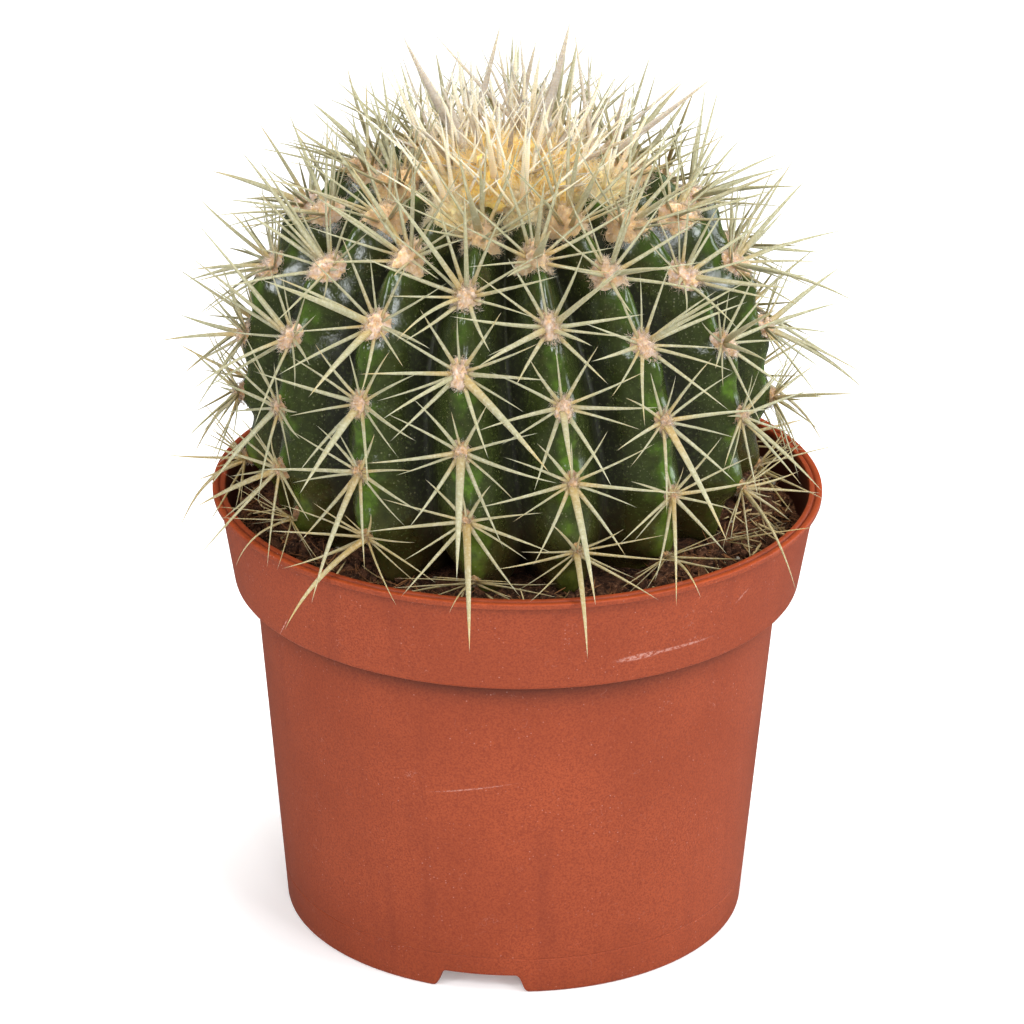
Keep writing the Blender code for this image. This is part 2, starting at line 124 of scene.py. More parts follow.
# %% Closed shells from rings of points
def closed_shells(rings, ends):
    """Points, quads between neighbouring rings, and a fan of triangles from each end to its ring.

    The quads run round each ring, so there is no seam. The faces are turned round if the volume
    that they enclose, the sum of each triangle's box product over six, comes out negative.
    """
    count, rows, columns = rings.shape[:3]
    size, last = rows * columns + 2, (rows - 1) * columns
    points = np.concatenate([rings.reshape(count, -1, 3), ends], axis=1).reshape(-1, 3)
    here = np.arange(columns)
    after = (here + 1) % columns
    row = np.arange(rows - 1)[:, None] * columns
    quads = np.stack([row + here, row + after, row + columns + after, row + columns + here], -1)
    fans = np.concatenate([
        np.stack([np.full(columns, size - 2), after, here], -1),
        np.stack([last + here, last + after, np.full(columns, size - 1)], -1),
    ])
    start = np.arange(count)[:, None, None] * size
    quads = (quads.reshape(-1, 4) + start).reshape(-1, 4)
    fans = (fans + start).reshape(-1, 3)
    corners = np.concatenate([quads[:, :3], quads[:, [0, 2, 3]], fans])
    a, b, c = (points[corners[:, i]] - points.mean(0) for i in range(3))
    if (a * np.cross(b, c)).sum() < 0:
        quads, fans = quads[:, ::-1], fans[:, ::-1]
    return points, quads, fans


def on_shells(values, rings):
    """Numbers given for the rings, one for each point of the shells, with the ends taking their ring's."""
    values = np.broadcast_to(values, rings.shape[:3])
    return np.concatenate([values.reshape(len(values), -1), values[:, 0, :1], values[:, -1, :1]], 1).ravel()


# %% [markdown]
# Blender takes a mesh fastest as flat arrays: coordinates, corner numbers and where each face starts.
# Extra numbers on the points, such as how far along a spine they lie, travel with the mesh as
# attributes, and the materials read them.

# %% Put shells into Blender as a piece of the object
def put(name, data):
    """An object that shows this mesh, lamp or camera."""
    thing = bpy.data.objects.new(name, data)
    bpy.context.scene.collection.objects.link(thing)
    return thing


def new_piece(name, shells, look, stands_for=()):
    """A smooth mesh object that rides on the model's one body, with its points in metres.

    The shells are rings, ends, and the numbers that the points carry.
    """
    rings, ends, numbers = shells
    points, quads, fans = closed_shells(rings, ends)
    corners = np.concatenate([quads.ravel(), fans.ravel()]).astype(np.int32)
    sizes = np.concatenate([np.full(len(quads), 4), np.full(len(fans), 3)])
    mesh = bpy.data.meshes.new(name)
    mesh.vertices.add(len(points))
    mesh.vertices.foreach_set("co", (points * MM).astype(np.float32).ravel())
    mesh.loops.add(len(corners))
    mesh.loops.foreach_set("vertex_index", corners)
    mesh.polygons.add(len(sizes))
    mesh.polygons.foreach_set("loop_start", (np.cumsum(sizes) - sizes).astype(np.int32))
    mesh.update(calc_edges=True)
    mesh.shade_smooth()
    for key, values in numbers.items():
        layer = mesh.attributes.new(key, "FLOAT", "POINT")
        layer.data.foreach_set("value", on_shells(values, rings).astype(np.float32))
    mesh.materials.append(look)
    piece = put(name, mesh)
    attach(piece, "root")
    if stands_for:
        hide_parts(*stands_for)
    print(f"{name}: {len(points)} points, {2 * len(quads) + len(fans)} triangles")
    return piece


# %% [markdown]
# ### Materials in a few lines each
#
# A finish is a small network of nodes that ends in one Principled shader. `add` puts in one node and
# hands back its output, so that a network reads like arithmetic. What is the same all over a surface
# is set straight on the shader.

# %% Helpers for node materials
looks = []


def new_look(name, **constants):
    """Starts a material. The helpers below add their nodes to the newest one."""
    look = bpy.data.materials.new(name)
    look.use_nodes = True
    for socket, value in constants.items():
        look.node_tree.nodes["Principled BSDF"].inputs[socket.replace("_", " ")].default_value = value
    looks.append(look)
    return look


def add(kind, sockets, out=0, **settings):
    """Adds a node. A socket that is given another node's output is linked, and a plain value is set."""
    tree = looks[-1].node_tree
    node = tree.nodes.new("ShaderNode" + kind)
    for key, value in settings.items():
        setattr(node, key, value)
    for key, value in sockets.items():
        if isinstance(value, bpy.types.NodeSocket):
            tree.links.new(value, node.inputs[key])
        else:
            node.inputs[key].default_value = value
    return node.outputs[out]


def finish(**links):
    """Links outputs to the shader's sockets, and hands back the material."""
    tree = looks[-1].node_tree
    for socket, output in links.items():
        tree.links.new(output, tree.nodes["Principled BSDF"].inputs[socket.replace("_", " ")])
    return looks[-1]


def in_mm(stretch=(1, 1, 1)):
    """Object coordinates in millimetres, so that a noise of scale 0.5 has lumps of 2 mm."""
    place = add("TexCoord", {}, out="Object")
    return add("Mapping", {"Vector": place, "Scale": tuple(each / MM for each in stretch)})


def noise(place, scale, detail=3.0, rough=0.55):
    """Cloudy numbers round 0.5, with this many lumps to a unit of the place."""
    return add("TexNoise", {"Vector": place, "Scale": scale, "Detail": detail, "Roughness": rough})


def number(name):
    """A number that the mesh's points carry."""
    return add("Attribute", {}, out="Fac", attribute_name=name)


def maths(operation, a, b=0.0):
    """One step of arithmetic on two numbers."""
    return add("Math", {0: a, 1: b}, operation=operation)


def times(a, b):
    """The product."""
    return maths("MULTIPLY", a, b)


def plus(a, b):
    """The sum."""
    return maths("ADD", a, b)


def larger(a, b):
    """The larger of the two."""
    return maths("MAXIMUM", a, b)


def between(value, low, high, start=0.0, end=1.0):
    """The value's place between low and high, as a number from start to end, smooth and never outside."""
    sockets = {"Value": value, "From Min": low, "From Max": high, "To Min": start, "To Max": end}
    return add("MapRange", sockets, interpolation_type="SMOOTHSTEP", clamp=True)


def specks(place, per_mm, size, share):
    """Round specks at random places, some larger than others: near a random point of each cell."""
    near = add("TexVoronoi", {"Vector": place, "Scale": per_mm, "Randomness": 1.0})
    chance = add("SeparateColor", {"Color": near.node.outputs["Color"]})
    reach = between(chance, 1 - share, 1.0, 0.0, size)
    return between(maths("DIVIDE", near, plus(reach, 0.001)), 0.6, 1.0, 1.0, 0.0)


def mix(share, low, high):
    """From a low colour to a high one. A plain colour is given as on a screen, from 0 to 255."""
    low, high = (srgb(*each) if isinstance(each, tuple) else each for each in (low, high))
    return add("Mix", {0: share, 6: low, 7: high}, out=2, data_type="RGBA")


def bump(height, strength, distance, under=None):
    """Shading as if the surface rose by the height times a distance, over the relief under it."""
    sockets = {"Height": height, "Strength": strength, "Distance": distance * MM}
    return add("Bump", sockets if under is None else {**sockets, "Normal": under})


# %% [markdown]
# ## Camera, floor and light
#
# The photograph looks down on the plant by 23 degrees, from nearly a metre away with a long lens. The
# camera is a real place and three angles, found from the ellipses of the pot's rim and foot.

# %% Camera
CAMERA_PLACE = Vector((0, -0.87724, 0.45875))
CAMERA_LENS, FILM_WIDTH, FAR_END = 169.838, 36, 20
LOOKS_DOWN, LOOKS_ASIDE, LEANS = radians(23.211), radians(-0.0663), radians(0.498)


def camera_matrix():
    """The view's own axes as columns: right, up and back, after the small lean about the line of sight."""
    ahead = Vector((sin(LOOKS_ASIDE) * cos(LOOKS_DOWN), cos(LOOKS_ASIDE) * cos(LOOKS_DOWN), -sin(LOOKS_DOWN)))
    right = Vector((cos(LOOKS_ASIDE), -sin(LOOKS_ASIDE), 0))
    up = right.cross(ahead)
    across = right * cos(LEANS) + up * sin(LEANS)
    upward = up * cos(LEANS) - right * sin(LEANS)
    return Matrix.Translation(CAMERA_PLACE) @ Matrix((across, upward, -ahead)).transposed().to_4x4()


camera = put("camera", bpy.data.cameras.new("camera"))
camera.data.lens, camera.data.sensor_width, camera.data.clip_end = CAMERA_LENS, FILM_WIDTH, FAR_END
camera.matrix_world = camera_matrix()
bpy.context.scene.camera = camera
print("camera at", tuple(camera.location))

# %% [markdown]
# The studio is white all round: a pale floor, a bright surround and soft panels. The two square
# boxes in front, low on each side, and a small one behind the camera draw the gleams on the ribs, and
# a card at the right gives the pot's edge its soft shine. Gloss mirrors neither the floor nor the
# panel overhead, which lights the wool: their reflections would lie like a veil over the dark skin.

# %% Floor, surround and panels
PLANT_MIDDLE = Vector((0, 0, 0.11))
# Each row is the name, place, size, power and tint of a panel, which faces the plant's middle.
PANELS = [
    ("key_panel", (-0.20, -0.90, 1.05), (0.34, 0.24), 3.2, (1.0, 0.98, 0.94)),
    ("front_box", (0.17, -0.97, 0.50), (0.16, 0.16), 1.5, (0.95, 0.98, 1.0)),
    ("left_box", (-0.64, -0.56, 0.56), (0.28, 0.30), 3.6, (0.93, 0.97, 1.0)),
    ("right_box", (0.55, -0.66, 0.52), (0.26, 0.30), 3.7, (0.93, 0.97, 1.0)),
    ("right_panel", (0.70, -0.45, 0.90), (0.20, 0.40), 3.2, (0.95, 0.98, 1.0)),
    ("right_card", (0.75, 0.25, 0.22), (0.5, 0.4), 3.0, (0.90, 0.96, 1.0)),
    ("top_panel", (0.05, 0.05, 1.10), (0.7, 0.4), 11.5, (1.0, 0.99, 0.97)),
]
for name, place, size, power, tint in PANELS:
    lamp = bpy.data.lights.new(name, "AREA")
    lamp.shape = "RECTANGLE"
    lamp.size, lamp.size_y = size
    lamp.energy, lamp.color = power, tint
    panel = put(name, lamp)
    panel.location = place
    panel.rotation_euler = (PLANT_MIDDLE - Vector(place)).to_track_quat("-Z", "Y").to_euler()
    panel.visible_glossy = name != "top_panel"

world = bpy.data.worlds.new("white_room")
world.use_nodes = True
world.node_tree.nodes["Background"].inputs["Color"].default_value = (1.0, 0.99, 0.97, 1)
world.node_tree.nodes["Background"].inputs["Strength"].default_value = 0.22
bpy.context.scene.world = world
bpy.context.scene.view_settings.view_transform = "Standard"

FLOOR_REACH = 6.0
floor_corners = [(x * FLOOR_REACH, y * FLOOR_REACH, 0) for x, y in ((-1, -1), (1, -1), (1, 1), (-1, 1))]
floor_mesh = bpy.data.meshes.new("floor")
floor_mesh.from_pydata(floor_corners, [], [(0, 1, 2, 3)])
glow = {"Emission_Color": (1, 1, 1, 1), "Emission_Strength": 0.25}
floor_mesh.materials.append(new_look("pale_floor", Base_Color=(0.93, 0.93, 0.93, 1), Roughness=0.9, **glow))
floor = put("floor", floor_mesh)
floor.visible_glossy = False
print("floor and panels are in place")

# %% [markdown]
# ## The pot
#
# The real pot is one thin moulded shell: a lip, a tall rim band that overhangs, a tapered wall and a
# foot ring with three notches that let water out. A moulded shell is a profile turned about an axis.
# Every corner of a real moulding is a little round, and those roundings catch the light, so each
# corner of the profile is replaced by a short curve.

# %% The pot's driving sizes
POT_HEIGHT, LIP_RADIUS, LIP_WIDTH, LIP_DEPTH = 89.5, 60.0, 2.2, 1.1
BAND_TOP_RADIUS, BAND_BOTTOM_RADIUS, BAND_BOTTOM = 58.7, 55.8, 70.0
WALL_TOP_RADIUS, BASE_RADIUS, WALL = 51.8, 46.0, 1.2
FOOT_WIDTH, FLOOR_UNDERSIDE, FLOOR_TOP = 1.8, 4.0, 5.2
MOULD_LINE = 7.6


def wall_radius(height, inset=0.0):
    """Radius of the tapered wall's outer face, less an inset."""
    return BASE_RADIUS + (WALL_TOP_RADIUS - BASE_RADIUS) * height / BAND_BOTTOM - inset


def band_radius(height, inset=0.0):
    """Radius of the rim band's outer face, less an inset."""
    share = (height - BAND_BOTTOM) / (POT_HEIGHT - LIP_DEPTH - BAND_BOTTOM)
    return BAND_BOTTOM_RADIUS + (BAND_TOP_RADIUS - BAND_BOTTOM_RADIUS) * share - inset


# %% The pot's profile, with each corner's rounding
# Each row is radius, height and how far the rounding reaches from the corner.
POT_CORNERS = [
    (0, FLOOR_TOP, 0),
    (wall_radius(FLOOR_TOP, WALL), FLOOR_TOP, 1.2),
    (wall_radius(BAND_BOTTOM, WALL), BAND_BOTTOM, 0.9),
    (band_radius(BAND_BOTTOM + WALL, WALL), BAND_BOTTOM + WALL, 0.9),
    (LIP_RADIUS - LIP_WIDTH - 0.5, POT_HEIGHT - 0.8, 0.25),
    (LIP_RADIUS - LIP_WIDTH - 0.3, POT_HEIGHT + 0.1, 0.2),
    (LIP_RADIUS - 1.7, POT_HEIGHT + 0.1, 0.2),
    (LIP_RADIUS - 1.4, POT_HEIGHT - 0.45, 0.15),
    (LIP_RADIUS - 1.05, POT_HEIGHT, 0.2),
    (LIP_RADIUS, POT_HEIGHT, 0.35),
    (LIP_RADIUS, POT_HEIGHT - LIP_DEPTH, 0.25),
    (band_radius(POT_HEIGHT - LIP_DEPTH) + 0.1, POT_HEIGHT - LIP_DEPTH - 0.1, 0.35),
    (BAND_BOTTOM_RADIUS, BAND_BOTTOM, 0.9),
    (WALL_TOP_RADIUS, BAND_BOTTOM - 0.4, 1.3),
    (wall_radius(MOULD_LINE + 0.25), MOULD_LINE + 0.25, 0.1),
    (wall_radius(MOULD_LINE) - 0.13, MOULD_LINE, 0.1),
    (wall_radius(MOULD_LINE - 0.25), MOULD_LINE - 0.25, 0.1),
    (BASE_RADIUS, 0, 0.7),
    (BASE_RADIUS - FOOT_WIDTH, 0, 0.5),
    (BASE_RADIUS - FOOT_WIDTH, FLOOR_UNDERSIDE, 0.8),
    (0, FLOOR_UNDERSIDE, 0),
]


def rounded(corners, steps=5):
    """The outline with each corner replaced by a quadratic curve whose control point is the corner."""
    corners = np.array(corners, float)
    places, reach = corners[:, :2], corners[1:-1, 2:]
    before = places[1:-1] + unit(places[:-2] - places[1:-1]) * reach
    after = places[1:-1] + unit(places[2:] - places[1:-1]) * reach
    share = np.linspace(0, 1, steps)[:, None, None]
    curves = before * (1 - share) ** 2 + 2 * places[1:-1] * share * (1 - share) + after * share**2
    return np.concatenate([places[:1], curves.transpose(1, 0, 2).reshape(-1, 2), places[-1:]])


def divided(outline, longest):
    """The outline with points added on its straight stretches, at even steps no longer than this."""
    lengths = np.linalg.norm(np.diff(outline, axis=0), axis=1)
    parts = np.ceil(lengths / longest).astype(int)
    along = np.concatenate([np.arange(n) / n + i for i, n in enumerate(parts)] + [[len(parts)]])
    whole = np.arange(len(outline))
    return np.stack([np.interp(along, whole, outline[:, axis]) for axis in (0, 1)], -1)


pot_profile = divided(rounded(POT_CORNERS), 2.4)
print("pot profile:", len(pot_profile), "points")

# %% [markdown]
# The notches are a formula too: where a notch is, the foot's lower edge is lifted, and the wall above
# is squeezed to make room. More columns near a notch's sides keep its corners crisp.

# %% Foot notches as a lift of the lower edge
NOTCHES, NOTCH_AZIMUTH, NOTCH_WIDTH, NOTCH_HEIGHT = 3, radians(-8), 16.5, 3.6
NOTCH_CORNER, SQUEEZED_UP_TO = 1.5, 8.0
notch_middles = NOTCH_AZIMUTH + np.arange(NOTCHES) * 2 * pi / NOTCHES


def pot_columns():
    """Azimuths at even steps, and closer ones where a notch's sides are."""
    even = np.linspace(-pi, pi, 300, endpoint=False)
    near = np.linspace(-NOTCH_CORNER, NOTCH_CORNER, 15)
    sides = np.concatenate([near - NOTCH_WIDTH / 2, near + NOTCH_WIDTH / 2]) / BASE_RADIUS
    close = (notch_middles[:, None] + sides + pi) % (2 * pi) - pi
    apart = np.abs((even[:, None] - close.ravel() + pi) % (2 * pi) - pi).min(axis=1)
    return np.sort(np.concatenate([even[apart > 0.6 / BASE_RADIUS], close.ravel()]))


def notch_lift(azimuth):
    """Height of the foot's edge: an S from 0 to full height, in the notch's side, with rounded corners."""
    turn = np.abs((azimuth[:, None] - notch_middles + pi) % (2 * pi) - pi).min(axis=1)
    inside = NOTCH_WIDTH / 2 - turn * BASE_RADIUS
    share = np.clip(inside / NOTCH_CORNER, -1, 1)
    return NOTCH_HEIGHT * 0.5 * (1 + np.sign(share) * (1 - (1 - np.abs(share)) ** 2.6))


def pot_rings():
    """The profile turned about the axis. Near a notch, what lies low is squeezed up above its edge."""
    radius, height = pot_profile[1:-1, 0, None], pot_profile[1:-1, 1, None]
    azimuth = pot_columns()
    outer = np.arange(len(radius))[:, None] > len(radius) // 2
    in_wall = radius > BASE_RADIUS - FOOT_WIDTH / 2
    low = (height < FLOOR_UNDERSIDE + 0.01) | (outer & (height < SQUEEZED_UP_TO) & in_wall)
    reach = np.where(in_wall, SQUEEZED_UP_TO, FLOOR_UNDERSIDE)
    squeeze = np.clip(1 - height / reach, 0, 1) * notch_lift(azimuth)
    return around(radius, azimuth, height + np.where(low, squeeze, 0))[None]


# %% [markdown]
# Moulded polypropylene that has been handled is matte, finely mottled and scuffed. Each scuff is a
# long thin ellipsoid at a measured place on the shell, and the plastic is pale where it lies inside.
# Shade is painted dark under the lip, under the band's edge and inside, and a highlight is painted on the
# lip's top: numbers on the shell's points.

# %% Handling marks
# Each row is the azimuth and height of both ends, the half width and the strength.
SCUFFS = [
    ((18.0, 75.0), (31.0, 75.7), 0.8, 0.6), ((20.0, 75.5), (43.0, 75.6), 0.45, 0.5),
    ((-21.5, 43.7), (2.0, 47.9), 0.22, 0.5), ((46.0, 81.0), (50.0, 83.5), 0.30, 0.5),
    ((-50.0, 75.9), (-55.0, 69.7), 0.16, 0.9), ((118.0, 74.0), (139.0, 77.0), 0.40, 0.8),
    ((-150.0, 38.0), (-128.0, 45.0), 0.25, 0.5), ((170.0, 60.0), (185.0, 58.0), 0.30, 0.5),
]


def strokes():
    """The strongest scuff: strength * (1 - |offset / half sizes|), in each stroke's own turned frame."""
    place = add("TexCoord", {}, out="Object")
    worn = 0.0
    for (turn_a, height_a), (turn_b, height_b), width, strength in SCUFFS:
        turn, height = radians((turn_a + turn_b) / 2), (height_a + height_b) / 2
        radius = band_radius(height) if height > BAND_BOTTOM else wall_radius(height)
        run, rise = radians(turn_b - turn_a) * radius, height_b - height_a
        inside = add("Mapping", {
            "Vector": place, "Location": around(radius, turn, height) * MM,
            "Rotation": (0, -np.arctan2(rise, run), turn),
            "Scale": (np.hypot(run, rise) / 2 * MM, 4 * MM, width * MM),
        }, vector_type="TEXTURE")
        shape = add("TexGradient", {"Vector": inside}, out="Fac", gradient_type="SPHERICAL")
        worn = larger(worn, between(shape, 0.0, 0.6, 0.0, strength))
    return worn


def painted_shade_at(points):
    """Painted shade below the lip, below the band's edge, and on the inner wall down to the soil."""
    height, radius = points[:, 2], np.hypot(points[:, 0], points[:, 1])
    below_lip = np.clip(POT_HEIGHT - LIP_DEPTH - height, 0, None)
    below_band = np.clip(BAND_BOTTOM - 0.3 - height, 0, None)
    on_band = (radius > BAND_BOTTOM_RADIUS - 0.5) & (radius < LIP_RADIUS - 0.5)
    on_wall = (height < BAND_BOTTOM) & (radius > wall_radius(height) - 0.3)
    inside = (height > BAND_BOTTOM) & (radius < band_radius(height) - 0.6)
    # The inner wall above the soil is painted dark, as shade.
    inner_shade = inside * smooth_step(POT_HEIGHT - height, 0.4, 1.8)
    return 0.4 * on_band * np.exp(-below_lip / 0.5) + on_wall * np.exp(-((below_band / 2.5) ** 1.2)) + inner_shade


def lip_highlight_at(points):
    """The lip's top face and outer corner, painted lighter as a highlight where they face the light from
    above.
    """
    high = smooth_step(points[:, 2], POT_HEIGHT - 0.3, POT_HEIGHT - 0.1)
    return high * (np.hypot(points[:, 0], points[:, 1]) > LIP_RADIUS - LIP_WIDTH - 0.4)


# %% The pot's plastic
def pot_plastic():
    """Terracotta plastic: cloudy colour, fine grain, dust, hairlines, faint flow marks, pale scuffs, painted
    shade and a painted highlight on the lip.
    """
    new_look("pot_plastic", Roughness=0.5, Specular_IOR_Level=0.3)
    place = in_mm()
    clouds = noise(place, 0.035, 4.0)
    grain = noise(place, 2.6, 2.0, 0.7)
    flow = noise(in_mm((1, 1, 0.06)), 0.16, 3.0)
    colour = mix(between(clouds, 0.3, 0.7), (143, 59, 26), (155, 67, 32))
    colour = mix(between(grain, 0.35, 0.7, 0.0, 0.9), colour, (124, 46, 20))
    colour = mix(between(flow, 0.52, 0.75, 0.0, 0.35), colour, (118, 44, 22))
    # Painted shade: dark under the lip, under the band's edge and on the inner wall above the soil.
    colour = mix(times(number("painted_shade"), 0.9), colour, (44, 17, 10))
    patchy = between(noise(place, 0.10, 2.0), 0.42, 0.62, 0.1, 1.0)
    dust = times(specks(place, 1.3, 0.22, 0.5), patchy)
    contour = maths("ABSOLUTE", maths("SUBTRACT", noise(place, 0.30, 2.0), 0.5))
    scattered = between(noise(place, 0.22, 3.0), 0.58, 0.70)
    hairline = times(between(contour, 0.0, 0.008, 0.6, 0.0), scattered)
    streaks = between(noise(in_mm((1, 1, 1.6)), 1.8, 4.0, 0.7), 0.40, 0.58)
    worn = times(strokes(), streaks)
    # Painted highlight: the lip's top face is lightened as if lit from above.
    colour = mix(times(number("lip_highlight"), 0.25), colour, (186, 78, 30))
    colour = mix(larger(times(worn, 0.75), times(larger(dust, hairline), 0.3)), colour, (214, 168, 156))
    relief = bump(clouds, 0.5, 0.3, bump(grain, 0.35, 0.05))
    return finish(Base_Color=colour, Roughness=between(clouds, 0.3, 0.7, 0.52, 0.62), Normal=relief)


# %% Make the pot
def drill_holes(piece, radius, circle, holes):
    """Cuts the floor's drain holes with round cutters that go right through it."""
    middles = around(circle, (np.arange(holes) + 0.5) * 2 * pi / holes, 0)
    turn = np.linspace(0, 2 * pi, 32, endpoint=False)
    heights = np.array([FLOOR_UNDERSIDE - 2, FLOOR_TOP + 2])
    rings = middles[:, None, None] + around(radius, turn, heights[:, None])
    ends = middles[:, None] + np.array([[0, 0, 1.0]]) * heights[:, None]
    points, quads, fans = closed_shells(rings, ends)
    mesh = bpy.data.meshes.new("drill")
    mesh.from_pydata((points * MM).tolist(), [], quads.tolist() + fans.tolist())
    drill = put("drill", mesh)
    cut = piece.modifiers.new("holes", "BOOLEAN")
    cut.object, cut.operation, cut.solver = drill, "DIFFERENCE", "MANIFOLD"
    bpy.context.view_layer.update()
    seen = piece.evaluated_get(bpy.context.evaluated_depsgraph_get())
    piece.data = bpy.data.meshes.new_from_object(seen)
    piece.modifiers.clear()
    bpy.data.objects.remove(drill)
    piece.data.set_sharp_from_angle(angle=radians(50))


def painted(piece, name, values_at):
    """Adds a number to each of the piece's points, from a function of its place in millimetres."""
    points = np.empty(len(piece.data.vertices) * 3, np.float32)
    piece.data.vertices.foreach_get("co", points)
    layer = piece.data.attributes.new(name, "FLOAT", "POINT")
    layer.data.foreach_set("value", values_at(points.reshape(-1, 3) / MM).astype(np.float32))


pot_ends = np.array([[[0, 0, FLOOR_TOP], [0, 0, FLOOR_UNDERSIDE]]])
pot = new_piece("nursery_pot", (pot_rings(), pot_ends, {}), pot_plastic(), ["pot"])
drill_holes(pot, radius=3.5, circle=34.0, holes=8)
# The painted shade, as a number on the shell's points.
painted(pot, "painted_shade", painted_shade_at)
# The lip's painted highlight, as a number on the shell's points.
painted(pot, "lip_highlight", lip_highlight_at)

# %% [markdown]
# ## The plant's skin
#
# A barrel cactus is a globe folded like an accordion, so that it can swell after rain. Its crests
# follow one curve from the crown to the ground, and between two crests the skin sinks into a furrow.
# The curve is a superellipse, a little flatter on top than a ball. Each point of the grid starts on
# the crest curve and moves inwards, at right angles to it, by its furrow's depth.

# %% Where the plant stands, and its crest curve
PLANT_PLACE = np.array([-2.6, -0.5, 107.2])
PLANT_LEAN = np.array(Matrix.Rotation(radians(0.6), 3, "Y") @ Matrix.Rotation(radians(4.0), 3, "X"))
CREST_RADIUS, CREST_TOP, CREST_BOTTOM = 52.0, 48.4, 33.0
RIBS, FIRST_RIB, RIB_CROWDING, RIB_TWIST = 15, radians(15.4), radians(2.0), radians(-5.5) / 50
RIB_PITCH = 2 * pi / RIBS


def planted(points):
    """From the plant's own upright frame to its place in the pot, where it leans a little."""
    return points @ PLANT_LEAN.T + PLANT_PLACE


def crest(level):
    """Radius and height at a level from pi/2 at the crown to -pi/2: R cos^0.76, and H sin^0.864."""
    radius = CREST_RADIUS * np.maximum(np.cos(level), 0) ** 0.76
    height = np.where(level > 0, CREST_TOP, CREST_BOTTOM) * np.abs(np.sin(level)) ** 0.864
    return radius, np.where(level > 0, height, -height)


def crest_normal(level):
    """The crest curve's outward normal, radial and upward, from its slope over a small step."""
    low, high = crest(np.maximum(level - 0.002, -pi / 2)), crest(np.minimum(level + 0.002, pi / 2))
    return unit(np.stack([high[1] - low[1], low[0] - high[0]], -1))


def rib_azimuth(turn, height):
    """A rib's azimuth: crowded in two waves round the plant, and twisted with height."""
    return FIRST_RIB + turn - RIB_CROWDING * np.sin(2 * turn + radians(14.4)) + RIB_TWIST * height


crest_levels = np.linspace(pi / 2, -pi / 2, 4001)
crest_steps = np.hypot(*(np.diff(values) for values in crest(crest_levels)))
crest_along = np.concatenate([[0], np.cumsum(crest_steps)])
print("a crest is", crest_along[-1].round(1), "mm long")

# %% [markdown]
# On each crest the skin swells under every woolly pad, like a chin. The pads lie one step
# apart along the crest, each rib's shifted against its neighbour's, which gives the spirals that
# every barrel cactus shows.

# %% The skin as a function of turn and level
AREOLE_STEP, AREOLE_FIRST, AREOLE_SHIFT = 14.9, 0.05, 0.4
CHIN_HEIGHT, CHIN_BELOW = 2.2, 0.3
DENT_DEPTH, DENT_PHASE = 2.7, -0.06


def rib_shift(rib):
    """How far down its crest a rib's pads start, as a share of a step."""
    return (AREOLE_FIRST + AREOLE_SHIFT * rib) % 1


def off_crest(turn):
    """0 on a crest, and 1 in the furrows beside it."""
    return np.abs((turn / RIB_PITCH + 0.5) % 1 - 0.5) * 2


def furrow(turn):
    """0 on a crest and 1 in a furrow: a hyperbola, so the crest is round and the flanks are straight."""
    return (np.hypot(off_crest(turn), 0.3) - 0.3) / (np.hypot(1, 0.3) - 0.3)


def furrow_depth(radius):
    """Full on the plant's sides, and none where the ribs run together at the crown and underneath."""
    return 9.5 * smooth_step(radius, 7.0, 36.0)


def slip(turn, along):
    """The low pads have slid along their crests as the plant bent: 3.3 sin(azimuth) - 1.2 mm, below 62 mm."""
    return smooth_step(along, 62, 92) * (3.3 * np.sin(turn + FIRST_RIB) - 1.2)


def chin(turn, along):
    """A raised cosine once a step on each crest. High up it swells below the pad, and low down it dents
    the crest between two pads, so that each of those sits on a knob of its own.
    """
    rib = np.round(turn / RIB_PITCH) % RIBS
    phase = (along - slip(turn, along)) / AREOLE_STEP - rib_shift(rib)
    high = CHIN_HEIGHT * smooth_step(along, 14, 40)
    low = smooth_step(along, 55, 84)
    swollen = high * (0.5 + 0.5 * np.cos(2 * pi * (phase - CHIN_BELOW))) ** 1.3
    dented = DENT_DEPTH * ((0.5 + 0.5 * np.cos(2 * pi * (phase - DENT_PHASE))) ** 1.3 - 1)
    return (swollen * (1 - low) + dented * low) * (1 - off_crest(turn)) ** 1.5


def skin_point(turn, level, swelling=0.0):
    """The crest's point, moved inwards along the crest's normal by the furrow, less the swelling."""
    radius, height = crest(level)
    normal = crest_normal(level)
    depth = furrow_depth(radius) * furrow(turn) - swelling
    azimuth = rib_azimuth(turn, height)
    return around(np.maximum(radius - depth * normal[..., 0], 0), azimuth, height - depth * normal[..., 1])


# %% The skin's grid
SKIN_ROWS, COLUMNS_PER_RIB = 190, 26


def skin_grid():
    """Rings from the crown to the underside at even steps along the crest, and what its points know."""
    along = np.linspace(2.0, crest_along[-1] - 2.0, SKIN_ROWS)[:, None]
    level = np.interp(along, crest_along, crest_levels)
    turn = np.arange(RIBS * COLUMNS_PER_RIB)[None] / COLUMNS_PER_RIB * RIB_PITCH
    points = skin_point(turn, level, chin(turn, along))
    points += unit(points) * 0.26 * rough_noise(points / 4.5, 5, 2)[..., None]
    ends = np.array([[[0, 0, CREST_TOP], [0, 0, -CREST_BOTTOM]]])
    return points[None], ends, {"furrow": furrow(turn)[None], "along": along[None]}


def plant_piece(name, shells, look, stands_for=()):
    """A piece whose points are given in the plant's own frame."""
    rings, ends, numbers = shells
    return new_piece(name, (planted(rings), planted(ends), numbers), look, stands_for)


# %% [markdown]
# The skin is tough, waxy and deep green. It is brighter along the crests, nearly black in the shade
# of the furrows, and finely mottled and dusted with pale flecks. The wax gives it a clear gloss over
# a slightly pebbled surface, so each light is broken into a cluster of small gleams.

